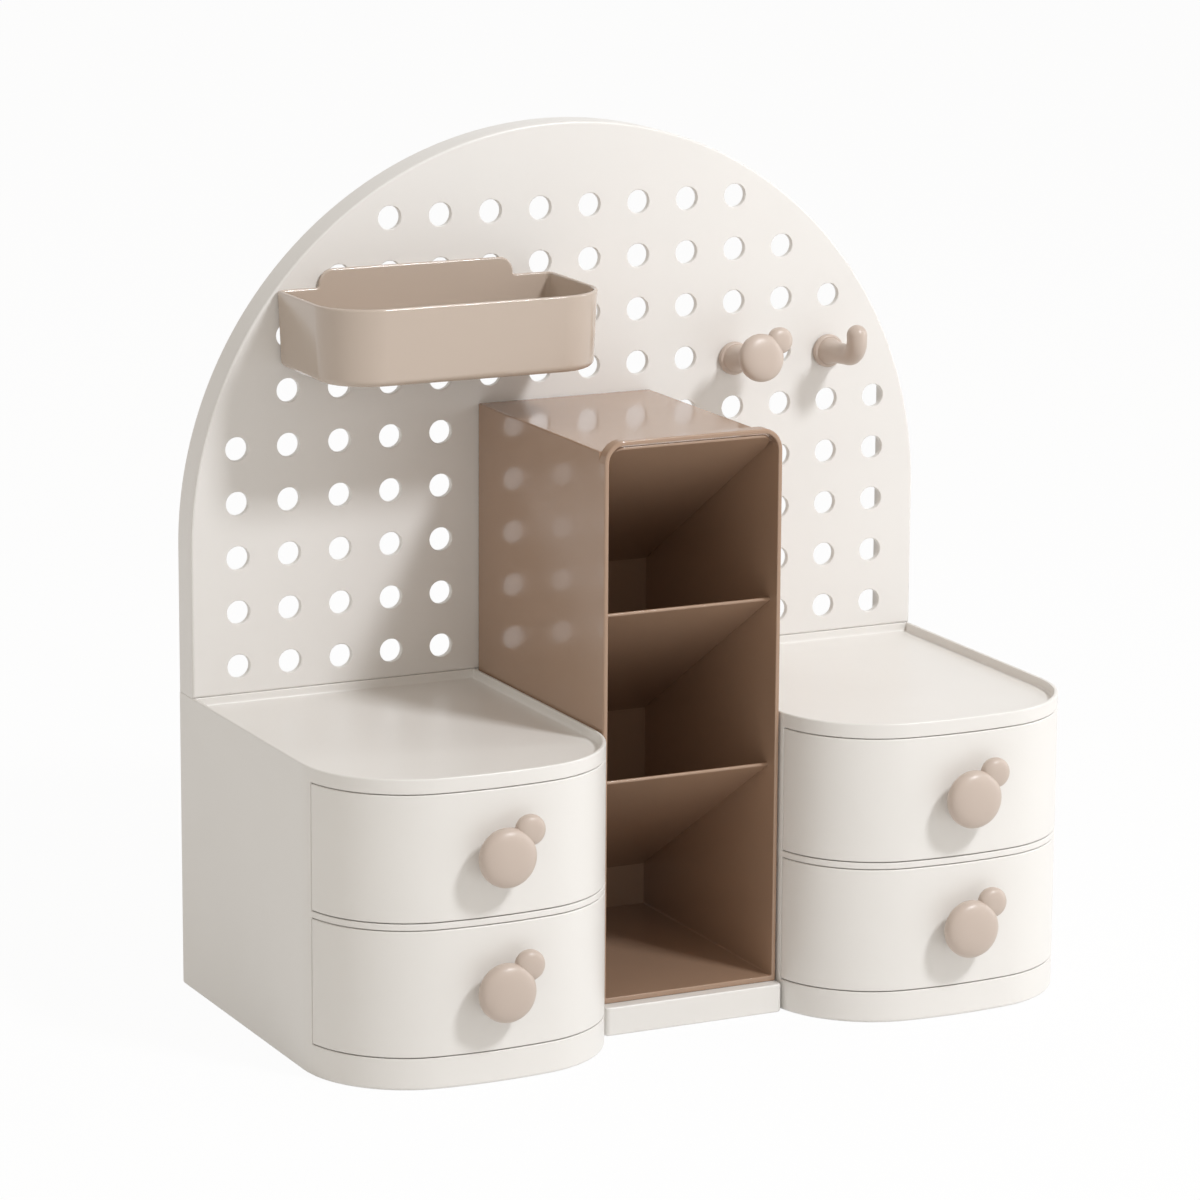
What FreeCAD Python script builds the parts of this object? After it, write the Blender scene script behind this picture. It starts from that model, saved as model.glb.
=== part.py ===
import FreeCAD, Part
import math
import os

# Desk organizer: two bowed drawer cabinets, a centre bridge between them, an arched
# pegboard on top, a compartment tower in the middle and three things hung in the holes.
# Millimetres. X is the width, Y runs towards the back and Z is up. The origin is on the
# desk, midway across the width and under the front face of the pegboard.

os.makedirs("parts", exist_ok=True)
V = FreeCAD.Vector

# Overall sizes
overall_width = 370.0
base_height = 138.4
cabinet_reach = 176.0
board_depth = 16.3

# Fits and gaps
cut_overrun = 5.0
running_gap = 0.3
seat_gap = 0.1
seam_gap = 0.45
side_running_gap = 0.7

# Cabinet shells
shell_wall = 2.4
corner_radius = 50.0
bow_radius = 220.0
floor_band = 14.3
divider_thick = 2.8
top_band = 6.7
lip_height = 4.2
lip_width = 1.8
base_edge_chamfer = 1.4
top_edge_chamfer = 0.6
wrap_depth = 9.0
back_wall_front = 8.6
back_wall_thick = 2.4
foot_rib_thick = 2.0
foot_rib_places_share = (-0.5, 0.0, 0.5)
rail_width = 3.0
rail_height = 1.0
rail_place_share = 0.68
stop_ridge_height = 4.0
stop_ridge_thick = 2.0
stop_ridge_half_share = 0.6

# Drawers
drawer_travel = 98.0
panel_thick = 2.6
tray_wall = 1.8
tray_floor = 1.8
tray_headroom = 13.0
tray_back_gap = 2.0
tray_corner_chamfer = 3.5
stop_lug_width = 16.0
stop_lug_thick = 2.0
stop_lug_gap = 1.2
stop_lug_place_share = 0.4
screw_hole_radius = 1.7

# Puffed disc of every knob: shares of its radius and of its thickness, from back to front
disc_shares = ((0.43, 0), (0.84, 0.16), (1, 0.45), (0.96, 0.72), (0.74, 0.91), (0.38, 1))

# Flat sides round what is small and repeats, so that its mesh stays light
hole_side_count = 12
rod_side_count = 12
disc_side_count = 20
lobe_side_count = 14
bend_step_count = 4
dome_step_count = 3

# Drawer knobs: a disc on a short neck with one smaller lobe at its shoulder
knob_radius = 12.4
knob_thick = 10.0
knob_neck_length = 4.6
knob_neck_radius = 4.2
knob_foot_radius = 5.4
lobe_radius = 6.4
lobe_thick = 7.6
lobe_across = 10.9
lobe_rise = 10.1
lobe_set_back = 0.8

# Knob screws
screw_head_radius = 3.0
screw_head_height = 1.9
screw_shank_radius = 1.25
screw_pilot_gap = 0.05
screw_grip = 8.0

# Pegboard
plate_thick = 3.0
rim_thick = 3.0
board_side_height = 66.8
board_edge_chamfer = 1.0
hole_pitch = 25.0
hole_radius = 5.5
hole_row_count = 9
round_hole_row_count = 2
bottom_row_rise = 12.8
hole_edge_margin = 12.5
post_inset = 11.6
post_thick = 2.0
tongue_width = 24.0
tongue_thick = 2.8
tongue_drop = 15.0
tongue_places_share = (-0.5, 0.5)
barb_rise = 1.6
barb_height = 5.0
barb_above_tip = 2.5
barb_width_share = 0.5

# Centre bridge
bridge_plinth_height = 13.2
bridge_reach = 138.0
bridge_wall = 2.4
hook_tab_width = 6.0
hook_tab_height = 6.0
hook_tab_drop = 5.0
hook_tab_thick = 2.4
hook_tab_back_gap = 0.8
hook_tab_levels_share = (0.24, 0.72)

# Tower
tower_width = 87.6
tower_side_gap = 0.6
tower_rise = 124.8
tower_reach = 132.4
collar_depth = 5.9
collar_rise = 5.0
collar_radius = 10.0
tower_wall = 2.1
tower_floor = 2.7
tower_edge_radius = 0.8
slope_degrees = 32.0
ceiling_set_back = 1.0
shelf_thick = 1.6
shelf_set_back = 6.4
upper_shelf_share = 0.7096
lower_shelf_share = 0.4052
groove_depth = 0.8

# Hook tail of everything that hangs on the board
tail_radius = 2.8
finger_thick = 2.6
finger_drop = 4.6
finger_radius = 1.8

# Basket
basket_width = 136.0
basket_depth = 68.0
basket_height = 37.0
basket_rim_below_hole = 4.2
basket_corner_radius = 25.0
basket_back_radius = 2.0
basket_draft = 1.6
basket_wall = 1.9
basket_edge_chamfer = 2.6
tab_width = 98.0
tab_rise = 8.3
tab_radius = 7.0

# Which holes carry what: pitches between two tails, rows up and columns in from the right
basket_span_count = 3
tower_span_count = 3
peg_row_count = 5
peg_knob_column_count = 3
hook_peg_column_count = 1

# Pegs on the board
flange_radius = 7.8
flange_thick = 2.6
flange_edge_chamfer = 1.0
flange_rise = 0.9
peg_root_radius = 5.6
peg_neck_radius = 4.7
peg_neck_length = 19.5
peg_tilt_degrees = 7.0
peg_disc_radius = 11.2
peg_disc_thick = 9.0
peg_lobe_radius = 5.6
peg_lobe_thick = 6.8
peg_lobe_across = 9.4
peg_lobe_rise = 7.4
hook_bar_radius = 4.8
hook_bend_radius = 8.0
hook_reach = 26.0
hook_finger_height = 14.0

# Worked out from the sizes above
half_width = overall_width / 2
cabinet_inner_x = tower_width / 2 + tower_side_gap
cabinet_half = (half_width - cabinet_inner_x) / 2
cabinet_mid_x = (half_width + cabinet_inner_x) / 2
corner_centre_x = cabinet_half - corner_radius
bow_centre_y = bow_radius - cabinet_reach
corner_centre_y = bow_centre_y - math.sqrt((bow_radius - corner_radius) ** 2 - corner_centre_x ** 2)
corner_angle = math.atan2(corner_centre_y - bow_centre_y, corner_centre_x)
side_end_y = corner_centre_y - wrap_depth
bay_height = (base_height - floor_band - divider_thick - top_band) / 2
bay_floors = {"lower": floor_band, "upper": floor_band + bay_height + divider_thick}
back_wall_back = back_wall_front + back_wall_thick
tray_half = cabinet_half - shell_wall - side_running_gap
tray_bottom = rail_height + running_gap
tray_top = bay_height - tray_headroom
tray_back_y = -tray_back_gap
knob_height = bay_height / 2
stop_ridge_y = tray_back_y - stop_lug_thick - drawer_travel - running_gap
tongue_back_y = back_wall_front - seat_gap
tongue_tip_z = base_height - tongue_drop
hook_tab_back_y = back_wall_front - hook_tab_back_gap
bottom_row_z = base_height + bottom_row_rise
spring_z = base_height + board_side_height
hole_reach = half_width - hole_edge_margin
hole_columns = 2 * math.floor((hole_reach + hole_pitch / 2) / hole_pitch)
last_column = hole_columns - 1
tail_drop = hole_radius - running_gap - tail_radius
slope = math.tan(math.radians(slope_degrees))
slanted_rise = shelf_thick / math.cos(math.radians(slope_degrees))
tower_half = tower_width / 2
tower_inner_half = tower_half - tower_wall
tower_body_y = collar_depth - tower_reach
tower_inner_back_y = -running_gap - tower_wall
tower_top_z = base_height + tower_rise
tower_height = tower_top_z - bridge_plinth_height
tower_floor_z = bridge_plinth_height + tower_floor
collar_inner_z = tower_top_z + collar_rise - tower_wall
ceiling_front_y = ceiling_set_back - tower_reach
shelf_front_y = shelf_set_back - tower_reach
tower_row = math.floor((tower_top_z - tower_wall - hole_radius - bottom_row_z) / hole_pitch)
tower_column = (last_column - tower_span_count) // 2
basket_foot_rise = tower_top_z + collar_rise - bottom_row_z
basket_row = math.ceil((basket_foot_rise + basket_height + basket_rim_below_hole) / hole_pitch)


# Solids shared by several pieces

def block(x0, x1, y0, y1, z0, z1):
    return Part.makeBox(x1 - x0, y1 - y0, z1 - z0, V(x0, y0, z0))


def prism_x(points, x0, x1):
    """A polygon of (y, z) points drawn out along X."""
    corners = [V(x0, y, z) for y, z in points]
    return Part.Face(Part.makePolygon(corners + corners[:1])).extrude(V(x1 - x0, 0, 0))


def flat(points):
    """A flat face inside a closed run of points."""
    return Part.Face(Part.makePolygon(points + points[:1]))


def ring(radius, centre, sides, lean=0):
    """Corners of a regular polygon square to Y, leaned about its level diameter by an angle."""
    turns = [2 * math.pi * index / sides for index in range(sides)]
    return [V(centre.x + radius * math.cos(turn),
              centre.y + radius * math.sin(turn) * math.sin(lean),
              centre.z + radius * math.sin(turn) * math.cos(lean)) for turn in turns]


def faceted(rings):
    """A solid with flat facets between rings of points, which run from its back to its front."""
    faces = [flat(rings[0][::-1]), flat(rings[-1])]
    for near, far in zip(rings, rings[1:]):
        faces.extend(flat([near[index - 1], near[index], far[index], far[index - 1]])
                     for index in range(len(near)))
    return Part.makeSolid(Part.makeShell(faces))


def spun(profile, sides, x=0, z=0):
    """Stations of (radius, y), from back to front, carried round a line along Y in flat facets."""
    return faceted([ring(radius, V(x, y, z), sides) for radius, y in profile])


def rod(x, y0, y1, z, radius):
    """A bar along Y whose corners touch its radius."""
    return spun([(radius, y1), (radius, y0)], rod_side_count, x, z)


def bore(x, y0, y1, z, radius):
    """A many-sided hole along Y that clears its radius all round."""
    corner = radius / math.cos(math.pi / hole_side_count)
    return spun([(corner, y1), (corner, y0)], hole_side_count, x, z)


def arc(start, middle, end):
    return Part.Arc(start, middle, end).toShape()


def line(start, end):
    return Part.LineSegment(start, end).toShape()


def moved(solid, x, y, z):
    return solid.translated(V(x, y, z))


def mirrored(solid):
    """The same piece for the other side of the organizer."""
    return solid.mirror(V(0, 0, 0), V(1, 0, 0))


def level_edges(solid, axis, value):
    """The edges of a solid that lie wholly in one plane square to an axis."""
    near = seat_gap / 2
    return [edge for edge in solid.Edges
            if abs(edge.CenterOfMass[axis] - value) < near
            and all(abs(vertex.Point[axis] - value) < near for vertex in edge.Vertexes)]


def bowed_plan(inset, back_y, z0, z1):
    """Plan of a cabinet: straight sides, big round corners and a bowed front, set in evenly."""
    side = cabinet_half - inset
    small = corner_radius - inset
    large = bow_radius - inset
    right = [
        V(side, back_y, z0),
        V(side, corner_centre_y, z0),
        V(corner_centre_x + small * math.cos(corner_angle / 2),
          corner_centre_y + small * math.sin(corner_angle / 2), z0),
        V(large * math.cos(corner_angle), bow_centre_y + large * math.sin(corner_angle), z0),
    ]
    left = [V(-point.x, point.y, point.z) for point in right]
    nose = V(0, bow_centre_y - large, z0)
    wire = Part.Wire([
        line(right[0], right[1]),
        arc(right[1], right[2], right[3]),
        arc(right[3], nose, left[3]),
        arc(left[3], left[2], left[1]),
        line(left[1], left[0]),
        line(left[0], right[0]),
    ])
    return Part.Face(wire).extrude(V(0, 0, z1 - z0))


def rounded_plan(half, front_y, back_y, front_radius, back_radius, z):
    """Wire of a rectangle seen from above whose front and back corners have their own radii."""
    skew = 1 - math.sqrt(1 / 2)
    right = [
        V(half - back_radius, back_y, z),
        V(half - back_radius * skew, back_y - back_radius * skew, z),
        V(half, back_y - back_radius, z),
        V(half, front_y + front_radius, z),
        V(half - front_radius * skew, front_y + front_radius * skew, z),
        V(half - front_radius, front_y, z),
    ]
    left = [V(-point.x, point.y, point.z) for point in right]
    return Part.Wire([
        arc(right[0], right[1], right[2]),
        line(right[2], right[3]),
        arc(right[3], right[4], right[5]),
        line(right[5], left[5]),
        arc(left[5], left[4], left[3]),
        line(left[3], left[2]),
        arc(left[2], left[1], left[0]),
        line(left[0], right[0]),
    ])


def round_topped(half, z0, z1, radius, y0, y1):
    """An upright plate whose two top corners are rounded, from y0 to y1."""
    skew = 1 - math.sqrt(1 / 2)
    right = [
        V(half, y0, z0),
        V(half, y0, z1 - radius),
        V(half - radius * skew, y0, z1 - radius * skew),
        V(half - radius, y0, z1),
    ]
    left = [V(-point.x, point.y, point.z) for point in right]
    wire = Part.Wire([
        line(right[0], right[1]),
        arc(right[1], right[2], right[3]),
        line(right[3], left[3]),
        arc(left[3], left[2], left[1]),
        line(left[1], left[0]),
        line(left[0], right[0]),
    ])
    return Part.Face(wire).extrude(V(0, y1 - y0, 0))


def puffed_disc(radius, thick, back_y, sides, x=0, z=0):
    """A disc about a line along Y with a flat back, a full rim and a crowned front."""
    profile = [(radius * share, back_y - thick * depth_share) for share, depth_share in disc_shares]
    return spun(profile, sides, x, z)


def hole_x(column):
    return (column - last_column / 2) * hole_pitch


def hole_z(row):
    return bottom_row_z + row * hole_pitch


def has_hole(column, row):
    """Whether a place of the grid keeps its margin from the arched outline."""
    above_spring = max(hole_z(row) - spring_z, 0)
    return math.hypot(hole_x(column), above_spring) <= hole_reach


def hook_tail(column, row, front_y):
    """A bar through one hole of the board, with a finger that drops behind the plate."""
    x = hole_x(column)
    z = hole_z(row) - tail_drop
    finger_y = plate_thick + running_gap
    tip_z = z - tail_radius - finger_drop + finger_radius
    bar = rod(x, front_y, finger_y + finger_thick, z, tail_radius)
    tip = rod(x, finger_y, finger_y + finger_thick, tip_z, finger_radius)
    web = block(x - finger_radius, x + finger_radius, finger_y, finger_y + finger_thick, tip_z, z)
    return bar.fuse([tip, web])


# Cabinets

def foot_hollow():
    """The open space under a cabinet floor, between the ribs that stand on the desk."""
    hollow = bowed_plan(shell_wall, board_depth - shell_wall, 0, floor_band - shell_wall)
    half_rib = foot_rib_thick / 2
    ribs = [block(share * cabinet_half - half_rib, share * cabinet_half + half_rib,
                  -cabinet_reach, board_depth, 0, floor_band) for share in foot_rib_places_share]
    middle_y = (board_depth - cabinet_reach) / 2
    ribs.append(block(-cabinet_half, cabinet_half, middle_y - half_rib, middle_y + half_rib, 0, floor_band))
    return hollow.cut(ribs)


def cabinet():
    """Shell with two drawer bays, open in front, and a shallow lipped tray for a top."""
    inner = cabinet_half - shell_wall
    front = -cabinet_reach - cut_overrun
    shell = bowed_plan(0, board_depth, 0, base_height)
    shell = shell.makeChamfer(base_edge_chamfer, level_edges(shell, 2, 0))
    shell = shell.makeChamfer(top_edge_chamfer, level_edges(shell, 2, base_height))
    cuts = [foot_hollow()]
    for floor in bay_floors.values():
        ceiling = floor + bay_height
        cuts.append(block(-inner, inner, front, back_wall_front, floor, ceiling))
        cuts.append(block(-cabinet_half - cut_overrun, cabinet_half + cut_overrun,
                          front, side_end_y, floor, ceiling))
    strip_z = base_height - shell_wall
    top_bay = bay_floors["upper"] + bay_height
    cuts.append(block(-inner, inner, shell_wall, back_wall_front, top_bay, strip_z))
    cuts.append(block(-inner, inner, back_wall_back, board_depth + cut_overrun, floor_band, strip_z))
    cuts.append(bowed_plan(lip_width, 0, base_height - lip_height, base_height + cut_overrun))
    cuts.extend(tongue_pockets())
    cuts.extend(hook_tab_windows())
    shell = shell.cut(cuts)
    extras = []
    for floor in bay_floors.values():
        extras.extend(bay_fittings(floor))
    return shell.fuse(extras).removeSplitter()


def bay_fittings(floor):
    """The two rails that carry a drawer and the ridge that stops it at full travel."""
    fittings = []
    for side in (-1, 1):
        x = side * rail_place_share * cabinet_half
        fittings.append(block(x - rail_width / 2, x + rail_width / 2, side_end_y, tray_back_y,
                              floor, floor + rail_height))
    half_ridge = stop_ridge_half_share * cabinet_half
    ceiling = floor + bay_height
    fittings.append(block(-half_ridge, half_ridge, stop_ridge_y - stop_ridge_thick, stop_ridge_y,
                          ceiling - stop_ridge_height, ceiling))
    return fittings


def tongue_pockets():
    """Slots in the top and windows in the back wall for the tongues of the pegboard."""
    pockets = []
    for share in tongue_places_share:
        x = share * cabinet_half
        half_slot = tongue_width / 2 + seat_gap
        half_window = barb_width_share * tongue_width / 2 + seat_gap
        barb_z = tongue_tip_z + barb_above_tip
        pockets.append(block(x - half_slot, x + half_slot, tongue_back_y - tongue_thick - seat_gap,
                             back_wall_front, tongue_tip_z, base_height + cut_overrun))
        pockets.append(block(x - half_window, x + half_window, back_wall_front, board_depth,
                             barb_z - seat_gap, barb_z + barb_height + seat_gap))
    return pockets


def hook_tab_windows():
    """Windows in the wall beside the tower, tall enough for the bridge's tabs to enter and drop."""
    windows = []
    for share in hook_tab_levels_share:
        z = share * base_height
        windows.append(block(-cabinet_half - cut_overrun, shell_wall - cabinet_half,
                             hook_tab_back_y - hook_tab_width - seat_gap, hook_tab_back_y + seat_gap,
                             z - seat_gap, z + hook_tab_height + hook_tab_drop + seat_gap))
    return windows


# Drawers

def tray_box(half, back_y, inset, z0, z1, chamfer):
    """Straight-sided box of the tray whose front follows the bowed plan."""
    box = block(-half, half, -cabinet_reach, back_y, z0, z1)
    rear = [edge for edge in level_edges(box, 1, back_y) if edge.BoundBox.ZLength > z1 - z0 - seat_gap]
    box = box.makeChamfer(chamfer, rear)
    return box.common(bowed_plan(inset, back_y + cut_overrun, z0, z1))


def drawer():
    """One drawer at the origin of its bay: bowed front, tray, rear stop lugs and a knob hole."""
    front = bowed_plan(0, 0, seam_gap, bay_height - seam_gap)
    front = front.cut(bowed_plan(panel_thick, cut_overrun, 0, bay_height))
    front = front.cut(block(-cabinet_half, cabinet_half, side_end_y - seam_gap, cut_overrun, 0, bay_height))
    tray = tray_box(tray_half, tray_back_y, panel_thick / 2, tray_bottom, tray_top, tray_corner_chamfer)
    inside = tray_box(tray_half - tray_wall, tray_back_y - tray_wall, panel_thick,
                      tray_bottom + tray_floor, tray_top + cut_overrun, tray_corner_chamfer)
    solid = front.fuse(tray).cut(inside)
    lugs = []
    for side in (-1, 1):
        x = side * stop_lug_place_share * cabinet_half
        lugs.append(block(x - stop_lug_width / 2, x + stop_lug_width / 2, tray_back_y - stop_lug_thick,
                          tray_back_y, tray_bottom + tray_floor, bay_height - stop_lug_gap))
    hole = bore(0, -cabinet_reach - cut_overrun, cut_overrun - cabinet_reach, knob_height, screw_hole_radius)
    return solid.fuse(lugs).cut(hole).removeSplitter()


def knob():
    """Drawer knob at the foremost point of its drawer front, with the screw's pilot hole."""
    neck_y = -knob_neck_length
    neck = spun([(knob_foot_radius, 0), (knob_neck_radius, neck_y / 2),
                 (knob_neck_radius, neck_y - knob_thick / 2)], rod_side_count)
    disc = puffed_disc(knob_radius, knob_thick, neck_y, disc_side_count)
    lobe = puffed_disc(lobe_radius, lobe_thick, neck_y - lobe_set_back, lobe_side_count,
                       lobe_across, lobe_rise)
    pilot = bore(0, -screw_grip, cut_overrun, 0, screw_shank_radius + screw_pilot_gap)
    solid = neck.fuse([disc, lobe]).cut(pilot)
    return moved(solid, 0, -cabinet_reach - seat_gap, knob_height)


def knob_screw():
    """Cheese-head screw that holds a knob from inside the drawer."""
    head_y = panel_thick - cabinet_reach + seat_gap
    shank_y = seat_gap - cabinet_reach - screw_grip
    head = rod(0, head_y, head_y + screw_head_height, knob_height, screw_head_radius)
    shank = rod(0, shank_y, head_y, knob_height, screw_shank_radius)
    return head.fuse(shank)


# Pegboard and bridge

def board_holes():
    """The grid of holes; two of them, low at the sides, are true circles to gauge a peg by."""
    holes = []
    for row in range(hole_row_count):
        for column in range(hole_columns):
            place = (hole_x(column), -cut_overrun, hole_z(row))
            if row == round_hole_row_count and column in (1, last_column - 1):
                holes.append(Part.makeCylinder(hole_radius, board_depth, V(*place), V(0, 1, 0)))
            elif has_hole(column, row):
                holes.append(bore(place[0], place[1], plate_thick + cut_overrun, place[2], hole_radius))
    return holes


def arched_plate(inset, y0, y1):
    """Straight sides under half a circle, set in evenly, from y0 to y1."""
    side = half_width - inset
    foot = base_height + inset
    wire = Part.Wire([
        line(V(-side, y0, foot), V(side, y0, foot)),
        line(V(side, y0, foot), V(side, y0, spring_z)),
        arc(V(side, y0, spring_z), V(0, y0, spring_z + side), V(-side, y0, spring_z)),
        line(V(-side, y0, spring_z), V(-side, y0, foot)),
    ])
    return Part.Face(wire).extrude(V(0, y1 - y0, 0))


def pegboard():
    """Perforated plate with a rim turned back all round, two stiffening posts and four tongues."""
    outer = arched_plate(0, 0, board_depth)
    outer = outer.makeChamfer(board_edge_chamfer, level_edges(outer, 1, 0))
    board = outer.cut(arched_plate(rim_thick, plate_thick, board_depth + cut_overrun))
    room = arched_plate(rim_thick / 2, plate_thick / 2, board_depth)
    additions = []
    for side in (-1, 1):
        near = side * (half_width - post_inset)
        far = side * (half_width - post_inset + post_thick)
        post = block(min(near, far), max(near, far), 0, board_depth, base_height, spring_z + half_width)
        additions.append(post.common(room))
        for share in tongue_places_share:
            additions.extend(tongue(side * cabinet_mid_x + share * cabinet_half))
    return board.fuse(additions).cut(board_holes()).removeSplitter()


def tongue(x):
    """A tongue under the board whose barb clicks into the cabinet's back wall."""
    half = tongue_width / 2
    half_barb = barb_width_share * half
    barb_z = tongue_tip_z + barb_above_tip
    blade = block(x - half, x + half, tongue_back_y - tongue_thick, tongue_back_y,
                  tongue_tip_z + seat_gap, base_height + rim_thick)
    ramp = prism_x([(tongue_back_y - tongue_thick, barb_z), (tongue_back_y, barb_z),
                    (tongue_back_y + barb_rise, barb_z + barb_height),
                    (tongue_back_y - tongue_thick, barb_z + barb_height)], x - half_barb, x + half_barb)
    return [blade, ramp]


def centre_bridge():
    """Plinth and upright back panel that join the two cabinets behind and under the tower."""
    half = cabinet_inner_x - seat_gap
    inner = half - bridge_wall
    plinth = block(-half, half, -bridge_reach, board_depth, 0, bridge_plinth_height)
    panel = block(-half, half, 0, board_depth, 0, base_height)
    solid = plinth.fuse(panel)
    half_rib = foot_rib_thick / 2
    under = block(-inner, inner, bridge_wall - bridge_reach, board_depth - bridge_wall,
                  0, bridge_plinth_height - bridge_wall)
    middle_y = (board_depth - bridge_reach) / 2
    ribs = [block(-half_rib, half_rib, -bridge_reach, board_depth, 0, bridge_plinth_height),
            block(-half, half, middle_y - half_rib, middle_y + half_rib, 0, bridge_plinth_height)]
    behind = block(-inner, inner, bridge_wall, board_depth + cut_overrun,
                   bridge_plinth_height, base_height - bridge_wall)
    solid = solid.cut([under.cut(ribs), behind])
    tabs = []
    for share in hook_tab_levels_share:
        z = share * base_height
        finger_x = cabinet_inner_x + shell_wall + seat_gap
        front_y = hook_tab_back_y - hook_tab_width
        neck = block(inner, finger_x, front_y, hook_tab_back_y, z, z + hook_tab_height)
        finger = block(finger_x, finger_x + hook_tab_thick, front_y, hook_tab_back_y,
                       z - hook_tab_drop, z + hook_tab_height)
        tab = neck.fuse(finger)
        tabs.extend([tab, mirrored(tab)])
    return solid.fuse(tabs).removeSplitter()


# Tower

def slanted_plate(front_y, front_z, half, gap):
    """A plate that falls towards the back at the tower's slope, grown by a gap on both faces."""
    back_y = tower_inner_back_y - seat_gap + gap
    drop = slope * (back_y - front_y)
    top = front_z + gap
    bottom = front_z - slanted_rise - gap
    return prism_x([(front_y - gap, top), (back_y, top - drop), (back_y, bottom - drop),
                    (front_y - gap, bottom)], -half, half)


def tower_casing():
    """Upright casing, open in front, with a raised round-cornered collar and hook tails behind."""
    body = block(-tower_half, tower_half, tower_body_y, -running_gap, bridge_plinth_height, tower_top_z)
    long_edges = [edge for edge in level_edges(body, 2, tower_top_z) if edge.BoundBox.YLength > tower_half]
    body = body.makeFillet(tower_edge_radius, long_edges)
    collar = round_topped(tower_half, bridge_plinth_height, tower_top_z + collar_rise, collar_radius,
                          -tower_reach, tower_body_y)
    mouth_y = -tower_reach - cut_overrun
    under_top = tower_top_z - tower_wall
    ramp_y = ceiling_front_y + (collar_inner_z - under_top) / slope
    inside = prism_x([(mouth_y, tower_floor_z), (tower_inner_back_y, tower_floor_z),
                      (tower_inner_back_y, under_top), (ramp_y, under_top),
                      (ceiling_front_y, collar_inner_z), (mouth_y, collar_inner_z)],
                     -tower_inner_half, tower_inner_half)
    rounding = round_topped(tower_inner_half, tower_floor_z, collar_inner_z, collar_radius - tower_wall,
                            mouth_y, 0)
    grooves = [slanted_plate(shelf_front_y, bridge_plinth_height + share * tower_height,
                             tower_inner_half + groove_depth, seat_gap)
               for share in (upper_shelf_share, lower_shelf_share)]
    solid = body.fuse(collar).cut([inside.common(rounding)] + grooves)
    tails = [hook_tail(column, tower_row, -running_gap - tower_wall / 2)
             for column in (tower_column, tower_column + tower_span_count)]
    return solid.fuse(tails).removeSplitter()


def tower_ceiling():
    """Slanted ceiling of the top compartment, shaped to the rounded corners of the collar."""
    plate = slanted_plate(ceiling_front_y, collar_inner_z - seat_gap, tower_half, 0)
    room = round_topped(tower_inner_half - seat_gap, tower_floor_z, collar_inner_z - seat_gap,
                        collar_radius - tower_wall - seat_gap, -tower_reach, 0)
    return plate.common(room)


def tower_shelf(share):
    """A slanted shelf, at a share of the tower's height, whose ends sit in grooves of the casing."""
    return slanted_plate(shelf_front_y, bridge_plinth_height + share * tower_height,
                         tower_inner_half + groove_depth - seat_gap, 0)


# Things hung on the board

def basket_skin(inset, floor_z, rim_z, back_y):
    """Basket form with draft on three sides, an upright back and a bevelled bottom edge."""
    sections = []
    levels = ((floor_z, basket_draft + basket_edge_chamfer), (floor_z + basket_edge_chamfer, basket_draft),
              (rim_z, 0))
    for z, drawn_in in levels:
        total = inset + drawn_in
        sections.append(rounded_plan(basket_width / 2 - total, total - basket_depth, back_y,
                                     basket_corner_radius - total, basket_back_radius, z))
    return Part.makeLoft(sections, True, True)


def basket():
    """Thin tray with big front corners, a raised back tab and two hook tails."""
    back_y = -running_gap
    rim_z = hole_z(basket_row) - basket_rim_below_hole
    floor_z = rim_z - basket_height
    first = min(column for column in range(hole_columns) if has_hole(column, basket_row))
    columns = (first, first + basket_span_count)
    centre_x = (hole_x(columns[0]) + hole_x(columns[1])) / 2
    outer = basket_skin(0, floor_z, rim_z, back_y)
    tab = round_topped(tab_width / 2, floor_z + basket_edge_chamfer, rim_z + tab_rise, tab_radius,
                       back_y - basket_wall, back_y)
    inner = basket_skin(basket_wall, floor_z + basket_wall, rim_z, back_y - basket_wall)
    mouth = Part.Face(rounded_plan(basket_width / 2 - basket_wall, basket_wall - basket_depth,
                                   back_y - basket_wall, basket_corner_radius - basket_wall,
                                   basket_back_radius, rim_z)).extrude(V(0, 0, tab_rise + cut_overrun))
    solid = moved(outer.fuse(tab).cut([inner, mouth]), centre_x, 0, 0)
    tails = [hook_tail(column, basket_row, back_y - basket_wall / 2) for column in columns]
    return solid.fuse(tails).removeSplitter()


def placed_peg(columns_in, stem):
    """A peg in its hole: a round flange, a stem that tilts up a little and a tail behind."""
    column = last_column - columns_in
    back_y = -running_gap
    front_y = back_y - flange_thick
    flange = spun([(flange_radius, back_y), (flange_radius, front_y + flange_edge_chamfer),
                   (flange_radius - flange_edge_chamfer, front_y)], disc_side_count)
    stem.rotate(V(0, 0, 0), V(1, 0, 0), -peg_tilt_degrees)
    front = moved(flange.fuse(stem), hole_x(column), 0, hole_z(peg_row_count) - tail_drop + flange_rise)
    return front.fuse(hook_tail(column, peg_row_count, back_y - flange_thick / 2)).removeSplitter()


def peg_knob():
    """Peg with the same lobed puffed disc as the drawer knobs, a little smaller."""
    neck_y = -flange_thick - peg_neck_length
    neck = spun([(peg_root_radius, -flange_thick / 2), (peg_neck_radius, neck_y / 2),
                 (peg_neck_radius, neck_y - peg_disc_thick / 2)], rod_side_count)
    disc = puffed_disc(peg_disc_radius, peg_disc_thick, neck_y, disc_side_count)
    lobe = puffed_disc(peg_lobe_radius, peg_lobe_thick, neck_y - lobe_set_back, lobe_side_count,
                       peg_lobe_across, peg_lobe_rise)
    return placed_peg(peg_knob_column_count, neck.fuse([disc, lobe]))


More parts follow.
